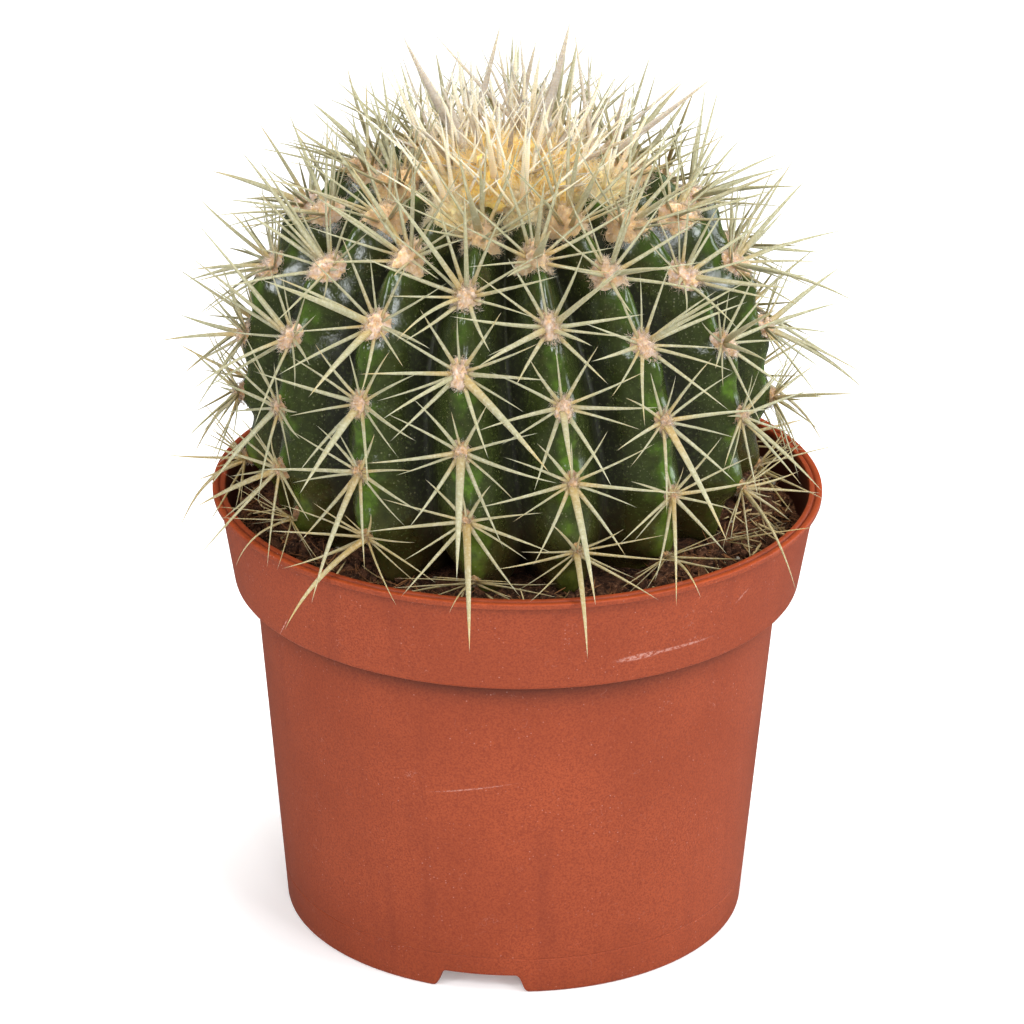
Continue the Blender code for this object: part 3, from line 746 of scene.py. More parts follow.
# %% The skin's finish
def cactus_skin():
    """Green, lit up along the crests, dark in the furrows, mottled, flecked and slightly pebbled."""
    new_look("cactus_skin", Specular_IOR_Level=0.5)
    place = in_mm()
    deep, low = number("furrow"), number("along")
    clouds = noise(place, 0.12, 4.0)
    fine = noise(place, 0.75, 4.0, 0.65)
    mottle = noise(place, 1.5, 3.0, 0.7)
    pebbles = noise(place, 2.2, 2.0, 0.5)
    crest_share = plus(deep, times(maths("SUBTRACT", clouds, 0.42), 1.1))
    crest_green = mix(between(low, 35.0, 75.0), (60, 80, 26), (82, 112, 34))
    colour = mix(between(crest_share, 0.0, 0.26), crest_green, (50, 58, 26))
    colour = mix(between(deep, 0.2, 0.8), colour, (26, 27, 12))
    # Towards the soil the skin turns brown, and this brown is lightened and warmed as a painted reflection of
    # the pot's rim band.
    colour = mix(between(low, 78.0, 104.0, 0.0, 0.6), colour, (82, 62, 30))
    colour = mix(between(fine, 0.35, 0.7, 0.0, 0.55), colour, (28, 31, 9))
    colour = mix(between(mottle, 0.5, 0.7, 0.0, 0.4), colour, (84, 96, 46))
    patchy = between(clouds, 0.3, 0.6, 0.45, 1.0)
    flecks = times(larger(specks(place, 1.3, 0.30, 0.6), specks(place, 2.3, 0.30, 0.5)), patchy)
    colour = mix(times(flecks, 0.4), colour, (132, 132, 96))
    rough = plus(between(fine, 0.3, 0.7, 0.06, 0.18), between(deep, 0.45, 0.85, 0.0, 0.5))
    relief = bump(flecks, 0.3, 0.05, bump(pebbles, 0.4, 0.04, bump(fine, 0.5, 0.14)))
    return finish(Base_Color=colour, Roughness=rough, Normal=relief)


plant_piece("cactus_body", skin_grid(), cactus_skin(), ["cactus"])

# %% [markdown]
# ## Tubes along paths
#
# Spines, wool hairs, rootlets and peat fibres are all thin tubes that follow a bent path. The path is
# a quadratic curve from a root over a bend to a tip. At each point of it, a small ring stands square
# to the path, and it may be wider one way than the other, as a flattened spine is.

# %% Many bent, tapered tubes at once
def bent_paths(root, bend, tip, rows):
    """Points of (1-t)^2 root + 2t(1-t) bend + t^2 tip, for each of many curves."""
    share = np.linspace(0, 1, rows)[:, None]
    root, bend, tip = (each[:, None] for each in (root, bend, tip))
    return root * (1 - share) ** 2 + 2 * bend * share * (1 - share) + tip * share**2


def tubes(paths, wide, thick, across, sides):
    """Rings square to each path. `across` is the wide way; `wide` and `thick` are half sizes.

    The last point of a path closes its tube as a sharp tip, so it has no ring of its own.
    """
    ahead = unit(np.gradient(paths, axis=1))[:, :-1]
    across = across[:, None] - ahead * (across[:, None] * ahead).sum(-1, keepdims=True)
    across = unit(across)[:, :, None]
    over = np.cross(ahead, across[:, :, 0])[:, :, None]
    turn = np.arange(sides) * 2 * pi / sides
    wide, thick = (np.broadcast_to(each, paths.shape[:2])[:, :-1, None] for each in (wide, thick))
    flat = (wide * np.cos(turn))[..., None] * across
    high = (thick * np.sin(turn))[..., None] * over
    return paths[:, :-1, None] + flat + high, paths[:, [0, -1]]


def random_directions(draw, count):
    """Unit vectors in every direction alike: three normal draws, made one long."""
    return unit(draw.normal(size=(count, 3)))


def strands(draw, root, bend, tip, taper, sides, **numbers):
    """Round tubes with these half widths from root to tip, each with a tone of its own."""
    paths = bent_paths(root, bend, tip, taper.shape[-1])
    rings, ends = tubes(paths, taper, taper, random_directions(draw, len(paths)), sides)
    return rings, ends, {"tone": draw.random(len(paths))[:, None, None], **numbers}


# %% [markdown]
# ## Areoles
#
# A spine never grows straight from the skin. It grows from an areole, a felted pad that is the
# cactus's shrunken side shoot. The pads near the crown are young, wide and peach-coloured. Further
# down they are worn small, grey and brown. Each one gets a frame: outward, crownward and sideways.

# %% Every areole's place and frame
YOUNGEST_AT, AREOLES_FROM, AREOLES_TO, LOWEST_AT = 6.0, 20.5, 100.0, 103.0


def areoles(first, last):
    """Ribs by rows of pads, those between two distances from the crown: age, place and directions."""
    rib, row = (each.ravel() for each in np.meshgrid(np.arange(RIBS), np.arange(8), indexing="ij"))
    along = (row + rib_shift(rib)) * AREOLE_STEP
    kept = (along >= first) & (along <= last)
    rib, row, along = rib[kept], row[kept], along[kept]
    turn = rib * RIB_PITCH
    # One low pad at the left sits 4 mm higher than the rule says.
    along = along + slip(turn, along) - 4.0 * ((rib == 12) & (row == 6))
    level = np.interp(along, crest_along, crest_levels)
    place = skin_point(turn, level)
    normal = crest_normal(level)
    azimuth = rib_azimuth(turn, place[:, 2])
    outward = unit(around(normal[:, 0], azimuth, normal[:, 1]))
    crownward = unit(around(-normal[:, 1], azimuth, normal[:, 0]))
    age = np.clip((along - AREOLES_FROM) / (AREOLES_TO - AREOLES_FROM), 0, 1)
    return {"rib": rib, "row": row, "turn": turn, "along": along, "age": age, "place": place,
            "outward": outward, "crownward": crownward, "sideways": np.cross(crownward, outward)}


def picked(frames, chosen):
    """Only the chosen ones of the areoles."""
    return {key: values[chosen] for key, values in frames.items()}


pads = areoles(AREOLES_FROM, AREOLES_TO)
young_pads = areoles(YOUNGEST_AT, AREOLES_FROM)
low_pads = areoles(AREOLES_TO, LOWEST_AT)
counts = [len(each["age"]) for each in (pads, young_pads, low_pads)]
print("areoles on the ribs, in the crown and at the soil:", counts)

# %% The felt of the pads
PAD_YOUNG, PAD_OLD, PAD_HEIGHT = 4.3, 1.4, 1.0


def pad_radius(age):
    """Half a pad's width: it shrinks with age, quickly at first."""
    return PAD_OLD * (1 - 0.3 * smooth_step(age, 0.75, 1)) + (PAD_YOUNG - PAD_OLD) * (1 - age) ** 2


def pad_stretch(age):
    """How much taller than wide a pad is: round when young, and drawn out along the crest when old."""
    return 1.1 + 0.4 * age


def pad_height(share, radius):
    """The felt's height over the skin at a share of its radius: a low dome, taller on a wide pad."""
    return (PAD_HEIGHT + 0.3 * (radius - PAD_OLD)) * (1 - np.minimum(share, 1) ** 2.2)


def on_skin(frames, side, crownwards, height):
    """Points over the skin, given as distances sideways and crownwards from each areole, and a height."""
    shape = (len(side),) + (1,) * (np.ndim(side) - 1)
    along = frames["along"].reshape(shape) - crownwards
    level = np.interp(along, crest_along, crest_levels)
    turn = frames["turn"].reshape(shape) + side / np.maximum(crest(level)[0], 8.0)
    return skin_point(turn, level, chin(turn, along) + height)


def felt_domes(frames, radius, seed, age=0.0):
    """Domes of (share of the radius, turn) that follow the skin, lumpy, with an edge that goes under it.

    The radius itself wavers by a quarter, by noise on a circle that is another one for each pad.
    """
    rows, columns = 20, 48
    share = np.concatenate([np.linspace(0.05, 1.0, rows - 1), [1.03]])[None, :, None]
    turn = np.linspace(0, 2 * pi, columns, endpoint=False)[None, None]
    circle = around(1.6, turn, 7.3 * np.arange(len(radius))[:, None, None])
    radius = radius[:, None, None] * (0.96 + 0.22 * rough_noise(circle, seed + 5))
    stretch = pad_stretch(frames["age"])[:, None, None]
    x, y = radius * share * np.cos(turn), stretch * radius * share * np.sin(turn)
    height = pad_height(share, radius) + 0 * x
    height[:, -1] = -1.2
    points = on_skin(frames, x, y, height)
    lumps = 0.45 * rough_noise(points, seed)[..., None]
    lumps[:, -1] = 0
    points = points + frames["outward"][:, None, None] * lumps
    flat = 0 * x[:, 0, 0]
    top = on_skin(frames, flat, flat, pad_height(0, radius[:, 0, 0]))
    bottom = on_skin(frames, flat, flat, flat - 1.6)
    return points, np.stack([top, bottom], 1), {"age": age, "tone": 0.0}


# %% Wool hairs on a pad
def wool_hairs(frames, radius, count, length, thickness, seed):
    """Short curled hairs, rooted evenly by area over each dome. They stand up in its middle, and lie
    outwards and downwards at its edge, where a few long ones trail.
    """
    draw = np.random.default_rng(seed)
    owner = np.repeat(np.arange(len(radius)), count)
    many, wide, chosen = len(owner), radius[owner], picked(frames, owner)
    share = np.sqrt(draw.random(many)) * 1.05
    turn = draw.random(many) * 2 * pi
    x, y = wide * share * np.cos(turn), pad_stretch(chosen["age"]) * wide * share * np.sin(turn)
    root = on_skin(chosen, x, y, pad_height(share, wide) + 0.1)
    turn, share = turn[:, None], share[:, None]
    lean = chosen["sideways"] * np.cos(turn) + chosen["crownward"] * (np.sin(turn) - 0.5)
    heading = chosen["outward"] * (1.2 - 0.7 * share) + lean * 1.4 * share
    heading = unit(heading + random_directions(draw, many))
    reach = length * draw.uniform(0.4, 1.3, many) * (0.7 + 0.3 * wide / PAD_OLD)
    reach = (reach * np.where(draw.random(many) < 0.06, 1.8, 1.0))[:, None]
    tip = root + unit(heading + 1.3 * random_directions(draw, many)) * reach
    taper = thickness * np.array([1.0, 0.9, 0.0])
    bend = root + heading * reach * 0.6
    return strands(draw, root, bend, tip, taper, 3, age=chosen["age"][:, None, None])


def wool_pieces(name, frames, radius, per_pad, length, thickness, look, seed):
    """The hairs of every third rib in a piece of their own, so that no piece grows too large."""
    for part in range(3):
        chosen = frames["rib"] % 3 == part
        sizes = radius[chosen], per_pad[chosen], length, thickness
        plant_piece(f"{name}_{part}", wool_hairs(picked(frames, chosen), *sizes, seed + part), look)


# %% [markdown]
# Wool is made of fine hairs that scatter light, so it has no gloss at all, only sheen. Fresh wool is
# peach with lighter and rosier tufts. It greys and browns as the plant grows and the pad moves down
# the rib.

# %% The wool's finish
def wool(name, fresh, rosy, old, deep, golden, uneven=1.0):
    """Peach wool with rosy tufts. It is golden when very young, and turns to the old colour with age. The
    hollows of its relief are painted in the deep colour, as shade.
    """
    new_look(name, Roughness=0.95, Sheen_Weight=0.2, Sheen_Roughness=0.6, Specular_IOR_Level=0.1,
             Subsurface_Weight=0.5, Subsurface_Radius=(1.2, 0.9, 0.6), Subsurface_Scale=MM)
    place = in_mm()
    tufts = noise(place, 1.0, 3.0, 0.6)
    fibres = noise(place, 3.2, 3.0, 0.7)
    colour = mix(between(tufts, 0.42, 0.6), fresh, rosy)
    colour = mix(between(number("age"), 0.0, 0.3, 0.75, 0.0), colour, golden)
    colour = mix(between(number("age"), 0.3, 0.95, 0.0, 0.95), colour, old)
    # Painted shade: where the relief is low, the colour goes towards the deep one.
    shade = plus(times(fibres, 0.7), times(tufts, 0.3))
    colour = mix(between(shade, 0.3, 0.5, 0.45, 0.0), colour, deep)
    colour = mix(times(number("tone"), 0.45), colour, (246, 226, 190))
    relief = bump(tufts, 0.6 * uneven, 0.6, bump(fibres, 0.9 * uneven, 0.35))
    return finish(Base_Color=colour, Normal=relief)


areole_wool = wool(
    "areole_wool", (236, 196, 148), (246, 218, 200), (188, 142, 90), (214, 154, 100), (243, 206, 142))
brown_wool = wool(
    "brown_wool", (150, 112, 76), (168, 128, 92), (140, 102, 70), (90, 60, 38), (140, 102, 70))

# %% Make the pads and their wool
sizes = pad_radius(pads["age"])
plant_piece("areole_felt", felt_domes(pads, sizes, 21, pads["age"][:, None, None]), areole_wool)
wool_pieces("areole_wool", pads, sizes, (125 * sizes**1.5).astype(int), 0.8, 0.042, areole_wool, 60)
plant_piece("low_felt", felt_domes(low_pads, np.full(len(low_pads["age"]), 0.9), 23), brown_wool)

# %% [markdown]
# ## Spines
#
# The spines of one areole are a star of flattened, slightly curved needles, with one longer and
# broader central spine that points down. They are cream, with a golden foot, fine rings across them
# like growth lines, and tips that are sometimes golden.
#
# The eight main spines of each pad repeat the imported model's own draws: angle, lift and length for
# each, in the same order from the same seed. More thin ones fill the gaps between them.

# %% The stars of spines
# Each row is the angle from the crownward direction round the pad, lift off the skin, length, half
# width, and 1 for a central spine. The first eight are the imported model's, and the seventh is longest.
SPINES = np.array([
    (30, 24, 13.5, 0.34, 0), (90, 18, 18.5, 0.38, 0), (150, 20, 17.0, 0.38, 0), (210, 20, 17.0, 0.38, 0),
    (270, 18, 18.5, 0.38, 0), (330, 24, 13.5, 0.34, 0), (180, 42, 23.0, 0.72, 1), (10, 62, 17.0, 0.46, 1),
    (62, 16, 16.0, 0.28, 0), (116, 14, 12.5, 0.26, 0), (244, 14, 12.5, 0.26, 0), (298, 16, 16.0, 0.28, 0),
    (352, 26, 10.0, 0.24, 0),
])
MAIN_COUNT, LONGEST = 8, 6
YOUNG_LIFT, YOUNG_LENGTH = radians(30), 19.0


def spine_plan(frames):
    """For each spine of each areole: its areole's frame, root, straight direction, length, half width."""
    many, per_pad = len(frames["age"]), len(SPINES)
    main = np.random.default_rng(11).random((many, MAIN_COUNT, 3))
    thin = np.random.default_rng(31).random((many, per_pad - MAIN_COUNT, 3))
    chance = np.concatenate([main, thin], axis=1).reshape(-1, 3).T
    angle, lift, length, wide, central = np.tile(SPINES, (many, 1)).T
    pad = picked(frames, np.repeat(np.arange(many), per_pad))
    young = (1 - pad["age"]) ** 3
    turn = np.radians(angle - 7 + 14 * chance[0])[:, None]
    rise = (np.radians(lift - 4 + 10 * chance[1]) + YOUNG_LIFT * young)[:, None]
    flat = pad["crownward"] * np.cos(turn) + pad["sideways"] * np.sin(turn)
    direction = flat * np.cos(rise) + pad["outward"] * np.sin(rise)
    out, up = np.where(central, 0.25, 0.7), np.where(central, 1.0, 0.5) * PAD_HEIGHT
    root = pad["place"] + pad["outward"] * up[:, None] + flat * (pad_radius(pad["age"]) * out)[:, None]
    full = length + (YOUNG_LENGTH - length) * young
    return pad, root, direction, full * (0.88 + 0.22 * chance[2]), wide


print("spines on pads:", len(pads["age"]) * len(SPINES))

# %% [markdown]
# A live spine that meets the rim doesn't pass through it: it grew bent. Low central spines arch over
# the lip and hang in front of the pot, and what would still touch the pot or the soil is turned
# towards the crown, a few degrees at a time, until it is clear.

# %% Keep the spines clear of the pot and the soil
POT_CLEARANCE, SOIL_LEVEL, SPINE_REACH = 0.9, 83.0, 70.3


def in_the_pot(root, bend, tip):
    """Which curves of the plant come too near the shell or the soil somewhere."""
    where = planted(bent_paths(root, bend, tip, 25))
    radius = np.hypot(where[..., 0], where[..., 1])
    over_soil = where[..., 2] > SOIL_LEVEL + POT_CLEARANCE
    over_lip = where[..., 2] > POT_HEIGHT + POT_CLEARANCE
    inside = radius < LIP_RADIUS - LIP_WIDTH - POT_CLEARANCE
    outside = radius > LIP_RADIUS + POT_CLEARANCE
    return (~(over_lip | outside | (inside & over_soil))).any(axis=1)


def turned(vectors, axis, angle):
    """Vectors turned about unit axes that are square to them: v cos a + (axis x v) sin a."""
    return vectors * cos(angle) + np.cross(axis, vectors) * sin(angle)


def curve_of(root, direction, length, bow):
    """Root, bend and tip of a spine whose middle bows out of the straight line by a vector."""
    tip = root + direction * length[:, None]
    return root, (root + tip) / 2 + bow * length[:, None], tip


def bent_clear(root, direction, crownward, length, bow):
    """Turns crownward the spines whose curve meets the pot, by 4 degrees at a time."""
    axis = unit(np.cross(direction, crownward))
    for _ in range(30):
        caught = in_the_pot(*curve_of(root, direction, length, bow))
        if not caught.any():
            break
        direction = np.where(caught[:, None], turned(direction, axis, radians(4)), direction)
    return direction, int(caught.sum())


def drawn_in(root, direction, length):
    """Shortens the spines whose tips would reach out further than the plant's real spread."""
    for _ in range(40):
        tip = planted(root + direction * length[:, None])
        length = np.where(np.hypot(tip[:, 0], tip[:, 1]) > SPINE_REACH, length * 0.97, length)
    return length


# %% [markdown]
# The longest and broadest spines are what the eye compares first, so those that the photograph shows
# are placed one by one. Each row names the pad, by rib and row, and the tip's azimuth, radius and
# height in the pot's frame. The last two numbers are the half width, and how far the middle is arched
# upwards, as a share of the length.

# %% Long spines, measured one by one
LONG_SPINES = np.array([
    (12, 4, -60, 67.6, 101.4, 0.70, 0.05), (12, 5, -71, 65.5, 92.1, 0.60, 0.04),
    (12, 5, -60, 70.3, 87.5, 0.42, 0.02), (12, 6, -57, 64.0, 85.4, 0.30, 0.20),
    (13, 4, -35, 70.1, 110.3, 0.85, 0.04), (13, 5, -33, 69.9, 88.8, 0.70, 0.10),
    (13, 6, -39, 69.0, 81.0, 0.60, 0.18), (14, 3, 5, 67.4, 119.1, 0.85, 0.03),
    (14, 4, -9, 70.1, 98.4, 0.85, 0.05), (14, 5, -7, 70.1, 84.2, 0.75, 0.12),
    (14, 6, -11, 65.0, 89.4, 0.30, 0.10), (0, 4, 8, 70.3, 120.0, 0.72, 0.04),
    (0, 5, 12, 70.2, 93.4, 0.78, 0.07), (0, 6, 11, 69.5, 82.4, 0.70, 0.20),
    (1, 4, 34, 69.7, 101.6, 0.80, 0.05), (1, 5, 25, 70.0, 91.1, 0.60, 0.22),
    (1, 6, 32, 65.0, 89.1, 0.35, 0.25), (2, 4, 55, 70.0, 104.6, 0.75, 0.06),
    (2, 5, 50, 69.0, 85.7, 0.60, 0.22), (2, 5, 73, 55.9, 87.9, 0.34, 0.03),
    (2, 5, 70, 62.1, 96.2, 0.38, 0.03), (12, 3, -80, 62.8, 147.0, 0.52, 0.02),
    (12, 3, -79, 64.2, 140.3, 0.48, 0.02), (12, 3, -64, 69.3, 119.3, 0.45, 0.12),
    (13, 3, -43, 68.9, 149.8, 0.72, 0.02), (13, 3, -33, 70.3, 130.2, 0.90, 0.05),
    (14, 3, -21, 68.9, 128.2, 0.45, 0.03), (14, 2, -22, 59.7, 139.9, 0.50, 0.16),
    (14, 2, -28, 54.0, 168.3, 0.55, 0.02), (14, 2, -12, 48.7, 166.5, 0.50, 0.02),
    (0, 3, -7, 60.9, 137.1, 0.62, 0.03), (0, 3, 20, 56.5, 153.7, 0.60, 0.02),
    (0, 3, 12, 64.0, 142.2, 0.55, 0.02), (1, 3, 40, 64.6, 150.0, 0.48, 0.03),
    (1, 3, 39, 63.8, 147.3, 0.42, 0.03), (1, 3, 36, 66.9, 134.2, 0.42, 0.03),
    (2, 3, 48, 64.3, 142.3, 0.70, 0.02), (2, 3, 45, 65.2, 133.0, 0.62, 0.04),
    (3, 3, 97, 64.1, 139.6, 0.40, 0.05), (3, 3, 92, 58.6, 135.0, 0.38, 0.03),
    (3, 3, 67, 69.2, 137.5, 0.80, 0.10), (3, 3, 98, 56.2, 150.2, 0.60, 0.03),
    (3, 3, 95, 53.4, 156.0, 0.42, 0.03), (3, 3, 94, 49.7, 155.7, 0.36, 0.03),
    (3, 3, 70, 57.4, 137.7, 0.32, 0.06), (3, 4, 99, 63.7, 131.2, 0.70, 0.03),
    (3, 4, 94, 62.8, 125.8, 0.40, 0.03), (3, 4, 90, 61.3, 121.0, 0.32, 0.03),
    (3, 4, 86, 67.4, 114.3, 0.50, 0.05), (3, 4, 86, 67.6, 110.9, 0.80, 0.10),
    (3, 5, 77, 67.5, 114.4, 0.38, 0.03), (3, 5, 79, 61.1, 112.3, 0.30, 0.03),
    (3, 5, 76, 60.7, 106.0, 0.32, 0.05), (4, 2, 112, 55.7, 150.9, 0.44, 0.05),
    (4, 2, 112, 57.1, 147.7, 0.50, 0.04), (4, 2, 84, 53.7, 153.0, 0.80, 0.06),
    (4, 2, 127, 45.4, 162.8, 0.50, 0.03), (4, 2, 125, 47.6, 162.5, 0.45, 0.03),
    (4, 2, 117, 48.9, 153.6, 0.34, 0.03), (5, 3, 113, 36.7, 166.3, 0.50, 0.03),
    (11, 2, -104, 46.3, 161.4, 0.50, 0.03), (11, 2, -105, 38.6, 161.6, 0.40, 0.03),
    (11, 2, -71, 61.7, 151.2, 0.55, 0.04), (11, 2, -77, 34.5, 165.7, 0.30, 0.03),
    (10, 2, -84, 47.9, 161.0, 0.50, 0.05), (10, 2, -85, 46.0, 160.8, 0.42, 0.07),
    (12, 2, -83, 53.7, 159.8, 0.62, 0.03), (12, 2, -84, 50.5, 158.0, 0.45, 0.03),
    (12, 2, -80, 53.1, 151.3, 0.35, 0.03), (12, 2, -76, 52.1, 154.2, 0.34, 0.03),
    (12, 1, -61, 58.0, 162.2, 0.42, 0.05), (11, 3, -91, 64.0, 132.4, 0.50, 0.05),
    (11, 3, -73, 61.5, 138.1, 0.36, 0.05), (11, 4, -90, 70.3, 118.1, 0.48, 0.04),
    (11, 4, -93, 66.6, 122.5, 0.50, -0.04), (11, 4, -91, 61.4, 126.5, 0.30, 0.03),
    (11, 5, -69, 68.2, 107.3, 0.42, 0.04), (13, 2, -44, 53.2, 161.3, 0.55, 0.04),
    (13, 2, -26, 43.6, 171.3, 0.55, 0.02), (13, 2, -74, 34.9, 159.9, 0.55, 0.03),
    (11, 1, -113, 36.7, 168.0, 0.50, 0.03), (11, 1, -111, 31.6, 169.0, 0.40, 0.03),
    (11, 1, -115, 29.9, 171.2, 0.42, 0.03), (9, 1, -96, 37.9, 166.9, 0.55, 0.05),
    (9, 1, -131, 42.2, 162.0, 0.50, 0.05), (3, 6, 96, 65.0, 95.0, 0.35, 0.02),
])


def unplanted(points):
    """The way back from the pot's frame to the plant's own."""
    return (points - PLANT_PLACE) @ PLANT_LEAN


def pad_number(rib, row):
    """One number that tells a pad from all others."""
    return rib * 10 + row


def long_spines():
    """Curves from the pads to the measured tips. The arch grows until the curve is clear of the pot."""
    frames = areoles(YOUNGEST_AT, LOWEST_AT)
    rib, row, azimuth, radius, height, wide, arch = LONG_SPINES.T
    owner = np.searchsorted(pad_number(frames["rib"], frames["row"]), pad_number(rib, row))
    place, outward, age = (frames[key][owner] for key in ("place", "outward", "age"))
    tip = unplanted(around(radius, np.radians(azimuth), height))
    toward = unit(tip - place)
    flat = unit(toward - outward * (toward * outward).sum(-1, keepdims=True))
    root = place + outward * 0.8 + flat * 0.3 * pad_radius(age)[:, None]
    upward = np.array([0, 0, 1.0]) @ PLANT_LEAN
    upward = unit(upward - toward * (toward @ upward)[:, None])
    length = np.linalg.norm(tip - root, axis=1)
    for _ in range(20):
        bend = (root + tip) / 2 + upward * (arch * length)[:, None]
        caught = in_the_pot(root, bend, tip)
        arch = np.where(caught, np.abs(arch) + 0.03, arch)
    print("measured spines:", len(owner), "still caught:", int(caught.sum()))
    return root, bend, tip, wide, np.cross(tip - root, outward), age


# %% [markdown]
# On the other pads, an arched spine's curve is chosen by where it passes: out over the lip, then down
# to a tip in front of the rim band. Only central spines whose root is high enough to reach do this.

# %% Arched central spines
ARCH_RADIUS, ARCH_RISE, ARCH_TIP_RADIUS, ARCH_DROP = 62.5, 3.4, 67.0, 7.5


def arched(root, direction):
    """Bend and tip for spines that hang over the lip, and which spines can do so."""
    start = planted(root)
    radius, above = np.hypot(start[:, 0], start[:, 1]), start[:, 2] - POT_HEIGHT
    heading = unit(planted(root + direction) - start)
    drops = (heading[:, 2] < -0.1) & (above > 3) & (above < 16)
    azimuth = np.arctan2(start[:, 0], -start[:, 1])
    bend = around(np.maximum(ARCH_RADIUS, radius + 4), azimuth, POT_HEIGHT + ARCH_RISE + 0.35 * above)
    swing = 0.02 * np.sin(9 * azimuth)
    tip = around(ARCH_TIP_RADIUS, azimuth + swing, POT_HEIGHT - ARCH_DROP + 0.55 * (above - 6))
    return unplanted(bend), unplanted(tip), drops


# %% Work out all the spines on the pads
def pad_spines(frames):
    """Curves, half widths, the flat way and age. Pads in the table go without their central spines."""
    pad, root, direction, length, wide = spine_plan(frames)
    age, outward, kind = pad["age"], pad["outward"], np.arange(len(root)) % len(SPINES)
    draw = np.random.default_rng(32)
    bow = 0.045 * random_directions(draw, len(root))
    bow = bow + 0.035 * outward * draw.uniform(-0.4, 1, len(root))[:, None]
    arch_bend, arch_tip, drops = arched(root, direction)
    drops &= kind == LONGEST
    direction, caught = bent_clear(root, direction, pad["crownward"], length, bow)
    length = drawn_in(root, direction, length)
    root, bend, tip = curve_of(root, direction, length, bow)
    bend = np.where(drops[:, None], arch_bend, bend)
    tip = np.where(drops[:, None], arch_tip, tip)
    across = np.cross(tip - root, outward)
    measured = np.isin(pad_number(pad["rib"], pad["row"]), pad_number(*LONG_SPINES[:, :2].T))
    kept = ~((SPINES[kind, 4] > 0) & measured)
    print("spines arched over the lip:", int((drops & kept).sum()), "still caught:", caught)
    wide = wide * (1 + 0.15 * (1 - age) ** 3 - 0.3 * smooth_step(age, 0.75, 1))
    return tuple(values[kept] for values in (root, bend, tip, wide, across, age))


# %% Spines as flattened, tapered tubes
def spine_tubes(curves, seed, stout=1.0, rows=10, sides=8):
    """Half width falls as 1 - t^1.9 from foot to tip, with a slightly swollen foot."""
    root, bend, tip, wide, across, age = curves
    foot = root - unit(bend - root) * 1.6
    paths = bent_paths(foot, bend, tip, rows)
    share = np.linspace(0, 1, rows)[None]
    taper = (stout * wide)[:, None] * (1 - share**1.9) * (1 + 0.18 * np.exp(-((share / 0.12) ** 2)))
    rings, ends = tubes(paths, taper, 0.62 * taper, across, sides)
    steps = np.linalg.norm(np.diff(paths, axis=1), axis=2)
    run = np.concatenate([np.zeros((len(paths), 1)), np.cumsum(steps, axis=1)], axis=1)[:, :-1]
    tone = np.random.default_rng(seed).random(len(paths))
    return rings, ends, {"run": run[..., None], "share": share[:, :-1, None],
                         "tone": tone[:, None, None], "age": age[:, None, None]}


def spine_horn(name, pale, golden, grey, milky):
    """Horn: golden foot, pale shaft with fine rings across it, and a golden or a grey tip."""
    new_look(name, Roughness=0.38, Specular_IOR_Level=0.4, Subsurface_Weight=milky,
             Subsurface_Radius=(1.6, 1.3, 0.9), Subsurface_Scale=MM)
    share, tone, place = number("share"), number("tone"), in_mm()
    wander = times(noise(place, 0.8, 2.0), 1.5)
    rings = maths("SINE", plus(times(number("run"), 2 * pi / 0.55), wander))
    foot = between(maths("DIVIDE", share, plus(times(tone, 0.4), 0.12)), 0.1, 1.0, 0.8, 0.0)
    colour = mix(foot, pale, golden)
    colour = mix(between(number("age"), 0.65, 1.0, 0.0, 0.6), colour, golden)
    tip = times(between(share, 0.6, 1.0), between(tone, 0.55, 0.9))
    colour = mix(times(tip, 0.8), colour, golden)
    greyer = between(maths("FRACT", times(tone, 7.3)), 0.3, 1.0, 0.0, 0.45)
    colour = mix(greyer, colour, grey)
    colour = mix(between(rings, -1.0, 1.0, 0.0, 0.16), colour, (148, 126, 84))
    streaks = between(noise(place, 1.7, 3.0), 0.4, 0.75, 0.0, 0.3)
    colour = mix(streaks, colour, (216, 211, 192))
    return finish(Base_Color=colour, Normal=bump(rings, 0.3, 0.04))


pad_horn = spine_horn("spine_horn", (153, 151, 120), (176, 143, 78), (146, 140, 110), 0.25)
plant_piece("areole_spines", spine_tubes(pad_spines(pads), 33, stout=1.1), pad_horn)
plant_piece("long_spines", spine_tubes(long_spines(), 34, rows=16), pad_horn)
plant_piece("low_spines", spine_tubes(pad_spines(low_pads), 35, stout=0.7), pad_horn)

# %% [markdown]
# ## The crown
#
# At the top the plant grows, and its newest pads are packed together in one golden cushion of wool.
# Out of it stands a brush of young spines, upright in the middle and leaning outwards at the edge.

# %% The crown's cushion of wool
CROWN_RADIUS, CROWN_HEIGHT, CROWN_SPREAD = 16.5, 4.6, 14.8
CUSHION_BOTTOM = CREST_TOP - 2.6


def crown_top(share):
    """Height of the woolly dome at a share of its radius, level with its edge further out."""
    return CREST_TOP + CROWN_HEIGHT * (1 - np.minimum(share, 1) ** 2.4)


def crown_cushion():
    """Rings from the middle out and back underneath, lumpy, with a lobe towards each rib."""
    share = np.concatenate([np.linspace(0.03, 1.0, 34), [0.93, 0.6]])[:, None]
    turn = np.linspace(0, 2 * pi, 150, endpoint=False)[None]
    top = np.arange(len(share))[:, None] < 34
    lobes = 1 + 0.055 * np.cos(RIBS * (turn - FIRST_RIB)) * smooth_step(share, 0.5, 1.0)
    points = around(CROWN_RADIUS * share * lobes, turn, np.where(top, crown_top(share), CUSHION_BOTTOM))
    points[..., 2] += np.where(top, rough_noise(points / 2.6, 41, 4), 0)
    ends = np.array([[[0, 0, crown_top(0)], [0, 0, CUSHION_BOTTOM]]])
    return points[None], ends, {"age": 0.0, "tone": 0.0}


